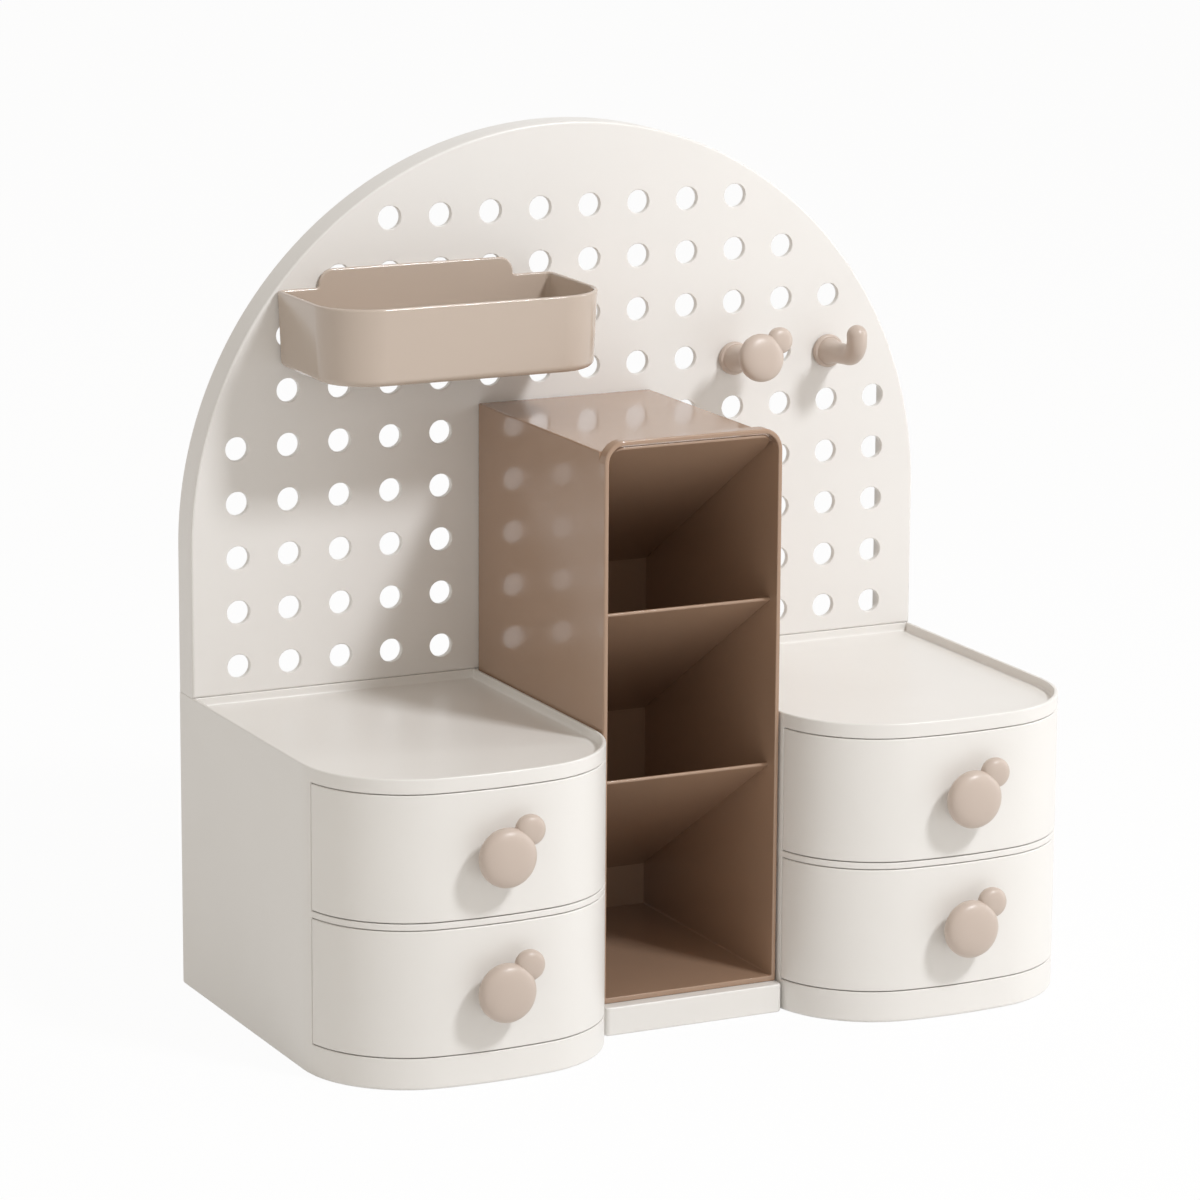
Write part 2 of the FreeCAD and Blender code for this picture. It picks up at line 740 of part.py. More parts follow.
def hook_peg():
    """Round bar that bends up into a short domed finger."""
    bend_y = hook_bend_radius - hook_reach
    finger_z = hook_finger_height - hook_bar_radius
    upright = math.pi / 2
    rings = [ring(hook_bar_radius, V(0, -flange_thick / 2, 0), rod_side_count)]
    for step in range(bend_step_count + 1):
        lean = upright * step / bend_step_count
        centre = V(0, bend_y - hook_bend_radius * math.sin(lean), hook_bend_radius * (1 - math.cos(lean)))
        rings.append(ring(hook_bar_radius, centre, rod_side_count, lean))
    for step in range(dome_step_count):
        rise = upright * step / dome_step_count
        centre = V(0, -hook_reach, finger_z + hook_bar_radius * math.sin(rise))
        rings.append(ring(hook_bar_radius * math.cos(rise), centre, rod_side_count, upright))
    return placed_peg(hook_peg_column_count, faceted(rings))


def save(name, solid):
    if len(solid.Solids) != 1 or not solid.isValid():
        raise ValueError(name + " is not one valid solid")
    solid.Solids[0].exportStep("parts/" + name + ".step")
    print(name, len(solid.Faces), "faces", round(solid.Volume), "mm3")


right_cabinet = moved(cabinet(), cabinet_mid_x, 0, 0)
save("right_cabinet", right_cabinet)
save("left_cabinet", mirrored(right_cabinet))
save("centre_bridge", centre_bridge())
save("pegboard", pegboard())
save("tower_casing", tower_casing())
save("tower_ceiling", tower_ceiling())
save("tower_upper_shelf", tower_shelf(upper_shelf_share))
save("tower_lower_shelf", tower_shelf(lower_shelf_share))
save("basket", basket())
save("peg_knob", peg_knob())
save("hook_peg", hook_peg())
for side_name, mid_x in (("left", -cabinet_mid_x), ("right", cabinet_mid_x)):
    for level_name, floor_z in bay_floors.items():
        place = side_name + "_" + level_name
        save(place + "_drawer", moved(drawer(), mid_x, 0, floor_z))
        save(place + "_knob", moved(knob(), mid_x, 0, floor_z))
        save(place + "_knob_screw", moved(knob_screw(), mid_x, 0, floor_z))
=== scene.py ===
"""Looks of a pegboard desk organizer: two bow-fronted cabinets with drawers, an arched
board full of holes, a tower with slanted shelves, a hung basket, a knob peg and a hook.

Every piece is a surface worked out with numpy: closed loops of points are laid out as an
array, neighbouring loops are bridged with quads, and the first and last loop are filled.
Lengths are in metres, in the frame of the constructed model."""

import math

import bmesh
import bpy
import numpy as np
from bpy.props import FloatProperty, FloatVectorProperty, IntProperty, PointerProperty
from mathutils import Matrix, Vector
from mathutils.geometry import delaunay_2d_cdt


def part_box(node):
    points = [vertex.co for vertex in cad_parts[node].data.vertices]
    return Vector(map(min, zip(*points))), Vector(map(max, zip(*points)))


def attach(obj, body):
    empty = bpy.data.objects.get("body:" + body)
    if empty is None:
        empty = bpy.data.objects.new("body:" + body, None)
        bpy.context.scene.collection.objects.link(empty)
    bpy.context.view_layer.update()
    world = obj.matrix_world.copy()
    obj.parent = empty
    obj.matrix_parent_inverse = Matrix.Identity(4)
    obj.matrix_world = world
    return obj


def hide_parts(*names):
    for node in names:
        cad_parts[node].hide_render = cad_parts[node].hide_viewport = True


bl_info = {
    "name": "Pegboard desk organizer",
    "version": (1, 0, 0),
    "blender": (4, 5, 0),
    "location": "View3D > Sidebar > Organizer",
    "description": "Builds a desk organizer with drawers, an arched pegboard and a shelf tower",
    "category": "Add Mesh",
}

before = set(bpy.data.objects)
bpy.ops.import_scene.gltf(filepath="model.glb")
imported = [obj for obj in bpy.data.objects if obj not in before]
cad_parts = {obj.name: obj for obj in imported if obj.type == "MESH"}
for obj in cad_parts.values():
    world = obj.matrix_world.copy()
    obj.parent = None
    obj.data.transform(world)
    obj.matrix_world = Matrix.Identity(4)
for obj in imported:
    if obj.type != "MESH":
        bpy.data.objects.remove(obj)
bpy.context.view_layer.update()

MM = 0.001
SEAT = 0.3 * MM  # room between the board's face and what hangs on it
CLEAR = 0.1 * MM  # room between forms that sit together
ROOT = 1.5 * MM  # how far in front of the board's face a tail begins
SHORT_ROOT = 1.3 * MM  # the same for what begins inside a thinner wall
MERGE = 0.001 * MM  # points nearer to each other than this become one
SHARP = math.radians(38)  # an edge that turns by more than this stays hard


# Properties

def length(name, description, millimetres):
    """A length property, given in millimetres and kept in metres."""
    return FloatProperty(name=name, description=description, default=millimetres * MM,
                         min=0, unit="LENGTH", precision=4)


def angle(name, description, degrees):
    """An angle property, given in degrees and kept in radians."""
    return FloatProperty(name=name, description=description, default=math.radians(degrees),
                         subtype="ANGLE", unit="ROTATION")


def power(name, description, watts):
    """A lamp's power."""
    return FloatProperty(name=name, description=description, default=watts, unit="POWER")


def share(name, description, value):
    """A property between nought and one."""
    return FloatProperty(name=name, description=description, default=value, min=0, max=1,
                         subtype="FACTOR")


def colour(name, description, value):
    """A linear colour property."""
    return FloatVectorProperty(name=name, description=description, default=value,
                               subtype="COLOR", min=0, max=1)


class OrganizerCabinetSizes(bpy.types.PropertyGroup):
    """Sizes of a cabinet shell and its bays."""
    wall: length("Wall", "Thickness of the shell's walls", 2.4)
    corner: length("Front corner", "Radius of the big front corners in plan", 50)
    bow: length("Bow", "Radius of the bowed front in plan", 220)
    wrap: length("Drawer wrap", "How far a drawer front reaches round the corner", 9)
    foot: length("Foot band", "Height of the band under the lower drawer", 14.3)
    divider: length("Divider", "Height of the band between two drawers", 2.8)
    top: length("Top band", "Height of the band above the upper drawer", 6.7)
    lip_height: length("Lip height", "Depth of the tray in the cabinet's top", 4.2)
    lip_width: length("Lip width", "Width of the lip round the tray in the top", 1.8)
    base_edge: length("Base edge", "Rounding where the shell meets the desk", 1.5)
    top_edge: length("Top edge", "Rounding of the upper rim", 0.75)
    back_wall: length("Back wall", "Distance of the back wall behind the board's face", 8.6)
    ridge_y: length("Stop ridge", "How far forward the ridge that stops a drawer is", 102.3)
    rail: length("Rail", "Height of the rails under a drawer", 1.0)
    tongue: length("Board tongue", "Width of the tongues that hold the board", 24)


class OrganizerDrawerSizes(bpy.types.PropertyGroup):
    """Sizes of a drawer, its knob and the knob's screw."""
    panel: length("Front", "Thickness of the bowed front", 2.6)
    seam: length("Seam", "Gap round a drawer front", 0.45)
    edge: length("Front edge", "Rounding of the front's edges", 0.6)
    wall: length("Tray wall", "Thickness of the tray's walls", 1.8)
    side_gap: length("Side gap", "Room between the tray and the shell", 0.7)
    headroom: length("Headroom", "Room above the tray's walls", 13)
    back_gap: length("Back gap", "How far the tray ends in front of the board's face", 2)
    back_corner: length("Back corner", "Radius of the tray's back corners", 3.6)
    disc: length("Knob", "Radius of the knob's disc", 13.2)
    disc_thick: length("Knob thickness", "Thickness of the knob's disc", 11)
    neck: length("Knob neck", "Length of the knob's neck", 3.6)
    neck_radius: length("Neck radius", "Radius of the knob's neck", 4.2)
    lobe: length("Lobe", "Radius of the smaller lobe on the knob", 6.9)
    lobe_thick: length("Lobe thickness", "Thickness of the lobe", 7.6)
    lobe_across: length("Lobe across", "Sideways distance from disc to lobe", 10.9)
    lobe_rise: length("Lobe rise", "Upward distance from disc to lobe", 10.9)
    puff: FloatProperty(name="Puff", description="Power of the disc's puffed profile: 2 is a "
                        "plain ellipse and more is squarer", default=2.6, min=2, max=6)


class OrganizerBoardSizes(bpy.types.PropertyGroup):
    """Sizes of the arched board and its grid of holes."""
    plate: length("Plate", "Thickness of the perforated plate", 3)
    rim: length("Rim", "Thickness of the rim turned back round the plate", 3)
    edge: length("Edge", "Rounding of the front edge", 1.2)
    pitch: length("Hole pitch", "Distance between neighbouring holes", 25)
    hole: length("Hole radius", "Radius of a hole", 5.5)
    hole_edge: length("Hole edge", "Rounding of a hole's edge", 0.35)
    rows: IntProperty(name="Rows", description="Rows of holes", default=9, min=1)
    bottom_row: length("Bottom row", "Height of the bottom row above the cabinets", 12.8)
    margin: length("Margin", "Least distance from a hole's centre to the outline", 12.5)
    post: length("Post", "Distance of a stiffening post's outer face from the side", 9.6)


class OrganizerTowerSizes(bpy.types.PropertyGroup):
    """Sizes of the tower and the bridge that it stands on."""
    wall: length("Wall", "Thickness of the tower's walls", 2.1)
    floor: length("Floor", "Thickness of the tower's floor", 2.7)
    collar: length("Collar depth", "Depth of the raised collar", 5.9)
    rise: length("Collar rise", "How far the collar stands above the body", 5)
    collar_corner: length("Collar corner", "Radius of the collar's upper corners", 10)
    edge: length("Edge", "Rounding of the outer edges", 0.8)
    mouth_edge: length("Mouth edge", "Rounding of the mouth's inner edge", 0.5)
    shelf: length("Shelf", "Thickness of the slanted shelves", 1.6)
    slope: angle("Shelf slope", "Fall of the ceiling and the shelves towards the back", 32)
    plinth: length("Plinth height", "Height of the plinth under the tower", 13.2)
    plinth_edge: length("Plinth edge", "Rounding of the plinth's edges", 0.9)
    bridge_wall: length("Bridge wall", "Thickness of the bridge's walls", 2.4)


class OrganizerHungSizes(bpy.types.PropertyGroup):
    """Sizes of the basket and the pegs."""
    basket_wall: length("Basket wall", "Thickness of the basket's walls", 1.9)
    basket_corner: length("Basket corner", "Radius of the front corners in plan", 25)
    basket_draft: length("Draft", "How far the walls draw in from rim to floor", 1.6)
    basket_edge: length("Basket edge", "Rounding of the bottom edge", 3.2)
    basket_lift: length("Basket lift", "How far the floor lies above the constructed one", 2)
    tab: length("Tab width", "Width of the raised back tab", 96)
    tab_rise: length("Tab rise", "Height of the tab above the rim", 8.3)
    tab_corner: length("Tab corner", "Radius of the tab's upper corners", 7)
    tail: length("Tail", "Radius of the tails that go through the holes", 2.8)
    finger: length("Finger", "Thickness of the finger behind the plate", 2.6)
    finger_drop: length("Finger drop", "How far the finger drops below its bar", 4.6)
    flange: length("Flange", "Radius of a peg's flange", 7.8)
    flange_thick: length("Flange thickness", "Thickness of a peg's flange", 2.6)
    peg_row: IntProperty(name="Peg row", description="Row of the pegs, from 0", default=5, min=0)
    neck: length("Peg neck", "Length of the knob peg's neck", 21.5)
    root_radius: length("Root radius", "Radius of a peg at its flange", 5.6)
    neck_radius: length("Neck radius", "Radius of the knob peg's neck", 4.7)
    disc: length("Peg disc", "Radius of the knob peg's disc", 11.2)
    disc_thick: length("Peg disc thickness", "Thickness of the knob peg's disc", 9)
    lobe: length("Peg lobe", "Radius of the knob peg's lobe", 6.2)
    lobe_thick: length("Peg lobe thickness", "Thickness of the knob peg's lobe", 6.8)
    lobe_across: length("Peg lobe across", "Sideways distance from disc to lobe", 10.4)
    lobe_rise: length("Peg lobe rise", "Upward distance from disc to lobe", 7.4)
    hook_bar: length("Hook bar", "Radius of the hook's bar", 4.8)
    hook_bend: length("Hook bend", "Radius of the hook's bend", 8)
    hook_reach: length("Hook reach", "How far the hook stands out", 29.5)
    hook_height: length("Hook height", "Height of the hook's finger", 15)
    knob_tilt: angle("Knob tilt", "How far the knob peg tilts up", 9)
    hook_tilt: angle("Hook tilt", "How far the hook peg tilts up", 3)


class OrganizerFinish(bpy.types.PropertyGroup):
    """Colours and gloss of the moulded plastics."""
    white: colour("Shell white", "Warm white of cabinets and drawers", (0.80, 0.78, 0.75))
    board: colour("Board white", "Warm white of the board", (0.80, 0.78, 0.755))
    # The tower's mocha is the same plastic as the basket's, set darker and more saturated:
    # painted shade for the shade on the tower's sides.
    tower: colour("Tower mocha", "Mocha brown of the tower", (0.38, 0.25, 0.17))
    mocha: colour("Basket mocha", "Mocha brown of the basket", (0.53, 0.44, 0.368))
    knob: colour("Knob mocha", "Mocha brown of the knobs and pegs", (0.55, 0.458, 0.395))
    steel: colour("Steel", "Zinc plated steel of the screws", (0.55, 0.55, 0.56))
    white_roughness: share("White roughness", "Roughness of the white plastic", 0.34)
    mocha_roughness: share("Mocha roughness", "Roughness of the glossy mocha plastic", 0.16)
    knob_roughness: share("Knob roughness", "Roughness of the knobs", 0.36)
    coat: share("Clear coat", "Weight of the clear gloss on the glossy mocha plastic", 0.3)


class OrganizerStage(bpy.types.PropertyGroup):
    """Camera, floor and lights."""
    place: FloatVectorProperty(name="Camera place", description="Where the camera stands",
                               default=(-0.99431, -2.06948, 0.68778), subtype="XYZ",
                               unit="LENGTH")
    azimuth: angle("Azimuth", "Turn of the view to the right", 26.0879)
    elevation: angle("Elevation", "Fall of the view below level", 12.7849)
    roll: angle("Roll", "Turn of the camera about its view", 0.3441)
    lens: FloatProperty(name="Focal length", description="Focal length for a 36 mm sensor",
                        default=151.814, subtype="DISTANCE_CAMERA", unit="CAMERA")
    key: power("Key light", "Power of the main light", 32)
    side: power("Side light", "Power of the strip on the right", 6)
    fill: power("Fill light", "Power of the light from the left", 1.5)
    sky: share("Sky", "Strength of the even light from all round", 0.55)
    lift: share("Floor lift", "How far the floor is lifted to white where it is seen", 0.95)
    floor: FloatProperty(name="Floor", description="Half the width of the floor", default=20,
                         min=1, unit="LENGTH")


# Points and loops

def quarter(steps):
    """Angles of a quarter circle from 0 to a right angle, in equal steps."""
    return np.linspace(0, math.pi / 2, steps + 1)


def rounding(radius, steps=4):
    """(inset, depth) along a rounded edge, r (1 - sin a) and r (1 - cos a): from the end face
    to the outside, and read backwards from the outside to the end face."""
    turn = quarter(steps)
    return radius * np.stack([1 - np.sin(turn), 1 - np.cos(turn)], axis=-1)


def mirrored(path):
    """A path of (x, other), and then its mirror image from its end back to its start."""
    return np.concatenate([path, path[::-1] * (-1, 1)])


def span(middle, half):
    """Both ends of a range that reaches half to either side of its middle."""
    return middle - half, middle + half


def corners(node):
    """Lowest and highest corner of a constructed piece."""
    return [np.array(corner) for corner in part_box(node)]


def at_height(plan, z):
    """Loops of (x, y) in plan made into loops of (x, y, z), with one height for each loop."""
    level = np.reshape(z, np.shape(z) + (1,) * (plan.ndim - np.ndim(z)))
    return np.concatenate([plan, np.broadcast_to(level, plan.shape[:-1] + (1,))], axis=-1)


def soft_rectangle(low, high, radius, shrink, steps=3):
    """Rounded rectangles over (shrink, point): each corner is a quarter circle round its own
    centre, of its radius less the shrink, so that shrinking insets the whole outline. The
    radius is one for all corners, or one each from the upper right one round to the left."""
    angles = quarter(steps) + np.arange(4)[:, None] * math.pi / 2
    radius = np.broadcast_to(radius, 4)
    x = np.array([high[0], low[0], low[0], high[0]]) - (1, -1, -1, 1) * radius
    y = np.array([high[1], high[1], low[1], low[1]]) - (1, 1, -1, -1) * radius
    reach = radius[:, None] - np.reshape(shrink, (-1, 1, 1))
    loops = np.stack([x[:, None] + reach * np.cos(angles),
                      y[:, None] + reach * np.sin(angles)], axis=-1)
    return loops.reshape(len(loops), -1, 2)


def circles(profile, around):
    """A circle about the Y axis for each (radius, y) of a profile: x = r cos u, z = r sin u."""
    u = np.linspace(0, 2 * math.pi, around, endpoint=False)
    radius, y = np.asarray(profile, float).T[..., None]
    return np.stack([radius * np.cos(u), y + 0 * u, radius * np.sin(u)], axis=-1)


# Skins, which are lists of (points, faces)

def skin(rings, closed=False):
    """Quads between neighbouring closed loops, rings[i, j]; the ends are filled or joined."""
    rings = np.asarray(rings, float)
    count, around = rings.shape[:2]
    index = np.arange(count * around).reshape(count, around)
    near = index if closed else index[:-1]
    far = np.roll(index, -1, axis=0) if closed else index[1:]
    quads = np.stack([near, np.roll(near, -1, 1), np.roll(far, -1, 1), far], axis=-1)
    ends = [] if closed else [index[0][::-1].tolist(), index[-1].tolist()]
    return rings.reshape(-1, 3), quads.reshape(-1, 4).tolist() + ends


def tube(rings):
    """Quads between neighbouring closed loops, with open ends."""
    points, faces = skin(rings)
    return points, faces[:-2]


def shifted(skins, offset):
    """The same skins moved by an offset."""
    return [(points + np.asarray(offset), faces) for points, faces in skins]


def flipped(skins):
    """The same skins mirrored from left to right."""
    return [(points * (-1, 1, 1), faces) for points, faces in skins]


def tilted(skins, lean):
    """The same skins turned about the X axis: y' = y cos a - z sin a, z' = y sin a + z cos a."""
    turn = np.array([[1, 0, 0], [0, math.cos(lean), -math.sin(lean)],
                     [0, math.sin(lean), math.cos(lean)]])
    return [(points @ turn.T, faces) for points, faces in skins]


def soft_box(xs, ys, zs, radius=0.4 * MM):
    """A box between ranges of x, y and z with rounded edges: rounded rectangles stacked in Z,
    which shrink by r (1 - sin a) at the depth r (1 - cos a) from each end."""
    inset, depth = rounding(radius, 3).T
    plan = soft_rectangle((xs[0], ys[0]), (xs[1], ys[1]), radius,
                          np.concatenate([inset, inset[::-1]]))
    return [skin(at_height(plan, np.concatenate([zs[0] + depth, zs[1] - depth[::-1]])))]


def turned(profile, centre=(0, 0, 0), around=48):
    """A profile of (radius, y) carried round a line along Y through the centre."""
    return [skin(circles(profile, around) + centre)]


def puffed_disc(centre, radius, thick, puff, around=56, steps=14):
    """A cushion about a line along Y: with p = 2 / puff, r = R cos(t)^p and
    y = -(T / 2) sign(t) |sin t|^p for t from the back pole to the front pole."""
    t = np.linspace(-math.pi / 2, math.pi / 2, 2 * steps + 1)
    exponent = 2 / puff
    r = radius * np.abs(np.cos(t)) ** exponent
    r[0] = r[-1] = 0
    y = -thick / 2 * np.sign(t) * np.abs(np.sin(t)) ** exponent
    return turned(np.stack([r, y], axis=-1), centre, around)


def lobed_knob(sizes, front, puff):
    """Two puffed discs with their backs at the front of a neck; the lobe sits a bit back."""
    set_back = 0.8 * MM
    lobe_y = front - set_back - sizes.lobe_thick / 2
    skins = puffed_disc((0, front - sizes.disc_thick / 2, 0), sizes.disc, sizes.disc_thick, puff)
    return skins + puffed_disc((sizes.lobe_across, lobe_y, sizes.lobe_rise), sizes.lobe,
                               sizes.lobe_thick, puff, 44, 12)


def piece(name, skins, material, body, slot, *nodes):
    """One object of the given skins, which rides on a body and stands for its nodes."""
    offset = 0
    points, faces = [], []
    for some_points, some_faces in skins:
        points.append(some_points)
        faces.extend([index + offset for index in face] for face in some_faces)
        offset += len(some_points)
    mesh = bpy.data.meshes.new(name)
    mesh.from_pydata(np.concatenate(points).tolist(), [], faces)
    form = bmesh.new()
    form.from_mesh(mesh)
    bmesh.ops.remove_doubles(form, verts=form.verts, dist=MERGE)
    bmesh.ops.recalc_face_normals(form, faces=form.faces)
    form.to_mesh(mesh)
    form.free()
    mesh.materials.append(material)
    mesh.shade_smooth()
    mesh.set_sharp_from_angle(angle=SHARP)
    thing = bpy.data.objects.new(name, mesh)
    bpy.context.scene.collection.objects.link(thing)
    weighted = thing.modifiers.new("Weighted normals", "WEIGHTED_NORMAL")
    weighted.keep_sharp = True
    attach(thing, body)
    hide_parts(*nodes)
    return thing


# Finishes

def given(node, **values):
    """A shader node with values for its inputs, whose names are written with _ for a space."""
    for name, value in values.items():
        node.inputs[name.replace("_", " ")].default_value = value
    return node


def fresh(name):
    """A new node material, its nodes and its links."""
    material = bpy.data.materials.new(name)
    material.use_nodes = True
    return material, material.node_tree.nodes, material.node_tree.links


def cloud(nodes, links, scale, detail=2):
    """Noise in the piece's own coordinates."""
    where = nodes.new("ShaderNodeTexCoord")
    noise = given(nodes.new("ShaderNodeTexNoise"), Scale=scale, Detail=detail)
    links.new(where.outputs["Object"], noise.inputs["Vector"])
    return noise.outputs["Fac"]


def ranged(nodes, links, value, low, high, start=0.3, end=0.7):
    """A value carried from the range start to end into the range low to high."""
    scale = given(nodes.new("ShaderNodeMapRange"), From_Min=start, From_Max=end, To_Min=low,
                  To_Max=high)
    links.new(value, scale.inputs["Value"])
    return scale.outputs["Result"]


def plastic(kind):
    """Moulded plastic: the colour drifts a little over broad clouds, the gloss varies over
    small ones and a very fine bump breaks up the highlights."""
    known = bpy.data.materials.get(kind + "_plastic")
    if known:
        return known
    finish = bpy.context.scene.organizer_finish
    base, roughness, coat = {
        "warm_white": (finish.white, finish.white_roughness, 0),
        "board_white": (finish.board, finish.white_roughness, 0),
        # The tower's colour is painted shade: the basket's mocha made darker and more saturated.
        "shade_darkened_tower_mocha": (finish.tower, finish.mocha_roughness, finish.coat),
        "basket_mocha": (finish.mocha, finish.mocha_roughness, finish.coat),
        "knob_mocha": (finish.knob, finish.knob_roughness, 0),
    }[kind]
    material, nodes, links = fresh(kind + "_plastic")
    shader = given(nodes["Principled BSDF"], IOR=1.49)
    if coat:
        given(shader, Coat_Weight=coat, Coat_Roughness=0.06)
    tint = nodes.new("ShaderNodeMix")
    tint.data_type = "RGBA"
    darker, lighter, gloss_drift = 0.975, 1.015, 0.025
    for socket, strength in (("A", darker), ("B", lighter)):
        given(tint, **{socket: (*[min(channel * strength, 1) for channel in base], 1)})
    broad = ranged(nodes, links, cloud(nodes, links, scale=7), 0, 1)
    small = cloud(nodes, links, scale=45, detail=3)
    gloss = ranged(nodes, links, small, *span(roughness, gloss_drift))
    bump = given(nodes.new("ShaderNodeBump"), Strength=0.12, Distance=0.05 * MM)
    links.new(broad, tint.inputs["Factor"])
    links.new(tint.outputs["Result"], shader.inputs["Base Color"])
    links.new(gloss, shader.inputs["Roughness"])
    links.new(cloud(nodes, links, scale=900), bump.inputs["Height"])
    links.new(bump.outputs["Normal"], shader.inputs["Normal"])
    return material


def screw_steel():
    """Zinc plated steel with very fine changes of gloss."""
    name = "screw_steel_plate"
    known = bpy.data.materials.get(name)
    if known:
        return known
    material, nodes, links = fresh(name)
    shader = given(nodes["Principled BSDF"], Metallic=1,
                   Base_Color=(*bpy.context.scene.organizer_finish.steel, 1))
    gloss = ranged(nodes, links, cloud(nodes, links, scale=1500), 0.25, 0.42, 0, 1)
    links.new(gloss, shader.inputs["Roughness"])
    return material


# Cabinets, in their own frame with X from the middle of the cabinet

class BowedPlan:
    """Straight sides, big round front corners and a bowed front. Each point of a loop is
    centre + outward * (radius - inset), so a loop keeps its points while it is inset."""

    def __init__(self, sizes):
        low, high = corners("right_cabinet")
        self.middle = (low[0] + high[0]) / 2
        self.side = (high[0] - low[0]) / 2
        self.front, self.back, self.top = low[1], high[1], high[2]
        self.corner, self.bow = sizes.corner, sizes.bow
        self.bow_y = self.front + self.bow
        self.corner_x = self.side - self.corner
        across = self.bow - self.corner
        self.corner_y = self.bow_y - math.sqrt(across ** 2 - self.corner_x ** 2)
        self.meet = math.atan2(self.corner_y - self.bow_y, self.corner_x)
        self.end_y = self.corner_y - sizes.wrap
        self.end = -math.asin(sizes.wrap / self.corner)

    def path(self, start, inset=0):
        """Places and outward directions from the right corner round the bow to the left one,
        beginning at an angle below level."""
        corner = np.linspace(start, self.meet, 22)
        bow = np.linspace(self.meet, -math.pi - self.meet, 36)[1:-1]
        angles = np.concatenate([corner, bow, -math.pi - corner[::-1]])
        centre_x, centre_y, radius = np.repeat(
            [[self.corner_x, 0, -self.corner_x], [self.corner_y, self.bow_y, self.corner_y],
             [self.corner, self.bow, self.corner]], (len(corner), len(bow), len(corner)), axis=1)
        outward = np.stack([np.cos(angles), np.sin(angles)], axis=-1)
        centres = np.stack([centre_x, centre_y], axis=-1)
        return centres + outward * (radius - inset)[:, None], outward

    def loop(self, front_inset, side_inset, back, z):
        """One closed loop: the part in front of the drawers' ends is inset by one length and
        the sides by another."""
        step = 0.02 * MM / self.corner
        wrap = np.array([0, self.end / 2, self.end + step])
        front, _ = self.path(self.end - step, front_inset)
        side_out = np.stack([np.cos(wrap), np.sin(wrap)], axis=-1)
        right = (self.corner_x, self.corner_y) + side_out * (self.corner - side_inset)
        ends = [[-self.side + side_inset, back], [self.side - side_inset, back]]
        return at_height(np.concatenate([right, front, right[::-1] * (-1, 1), ends]), z)

    def front_y(self, x, inset):
        """y of the front at x: bow_y - sqrt((R - i)^2 - x^2) on the bow, and the same with
        the corner's centre and radius beyond where the two arcs meet."""
        x = np.abs(x)
        meet_x = (self.bow - inset) * math.cos(self.meet)
        bow = self.bow_y - np.sqrt(np.maximum((self.bow - inset) ** 2 - x ** 2, 0))
        aside = np.maximum(x - self.corner_x, 0)
        corner = self.corner_y - np.sqrt(np.maximum((self.corner - inset) ** 2 - aside ** 2, 0))
        return np.where(x < meet_x, bow, corner)


def bays(plan, sizes):
    """Floor height and ceiling height of each drawer bay."""
    height = (plan.top - sizes.foot - sizes.divider - sizes.top) / 2
    upper = sizes.foot + height + sizes.divider
    return {"lower": (sizes.foot, sizes.foot + height), "upper": (upper, upper + height)}


def cabinet_skins(plan, sizes):
    """Foot, divider and top as stacks of plan loops, with walls, rails and ribs."""
    wall, lip, back, rim = sizes.wall, sizes.lip_width, plan.back, plan.top
    edge, soft, fillet = 0.3 * MM, 0.5 * MM, 1.2 * MM
    levels = bays(plan, sizes)
    top_z, tray_z = levels["upper"][1], rim - sizes.lip_height

    def stack(places):
        """Loops inset all round, from (inset, height)."""
        return [plan.loop(inset, inset, back - inset, z) for inset, z in places]

    foot = stack([(wall, sizes.foot - wall), (wall, edge), (wall - edge, 0),
                  *rounding(sizes.base_edge), (0, sizes.foot - edge)])
    foot.append(plan.loop(edge, 0, back, sizes.foot))
    low, high = levels["lower"][1], levels["upper"][0]
    divider = [plan.loop(inset, wall / 2, sizes.back_wall, z)
               for inset, z in ((edge, low), (0, low + edge), (0, high - edge), (edge, high))]
    upper_rim = (0, rim) + rounding(sizes.top_edge)[::-1] * (1, -1)
    top = [plan.loop(edge, 0, back, top_z)] + stack([(0, top_z + edge), *upper_rim])
    tray = np.concatenate([(0, rim) - rounding(soft), (0, tray_z) + rounding(fillet)[::-1]])
    top += [plan.loop(lip + inset, lip + inset, -inset, z) for inset, z in tray]
    skins = [skin(foot), skin(divider), skin(top)]
    skins += side_walls(plan, sizes, top_z) + back_wall(plan, sizes, top_z)
    for floor_z, ceiling_z in levels.values():
        skins += bay_fittings(plan, sizes, floor_z, ceiling_z)
    rib, hollow = 1 * MM, (CLEAR, sizes.foot - wall / 2)
    for x in (-plan.side / 2, 0, plan.side / 2):
        reach = float(plan.front_y(np.array(x), wall))
        skins += soft_box(span(x, rib), (reach - wall / 2, back - wall / 2), hollow, edge)
    return skins + soft_box(span(0, plan.side - wall / 2), span((plan.front + back) / 2, rib),
                            hollow, edge)


def side_walls(plan, sizes, top_z):
    """Outline of one side wall in plan, drawn up from the foot to the top, and its mirror."""
    inner, soft, nick = plan.side - sizes.wall, 0.5 * MM, 0.15 * MM
    wrap = np.linspace(0, plan.end + soft / plan.corner, 6)
    outer = np.stack([plan.corner_x + plan.corner * np.cos(wrap),
                      plan.corner_y + plan.corner * np.sin(wrap)], axis=-1)
    end_x = outer[-1, 0]
    front = [(end_x - nick, plan.end_y + nick), (end_x - soft, plan.end_y),
             (inner + soft, plan.end_y), (inner, plan.end_y + soft)]
    outline = np.concatenate([[(plan.side, plan.back)], outer, front, [(inner, plan.back)]])
    wall = [skin([at_height(outline, z) for z in (sizes.foot, top_z)])]
    return wall + flipped(wall)


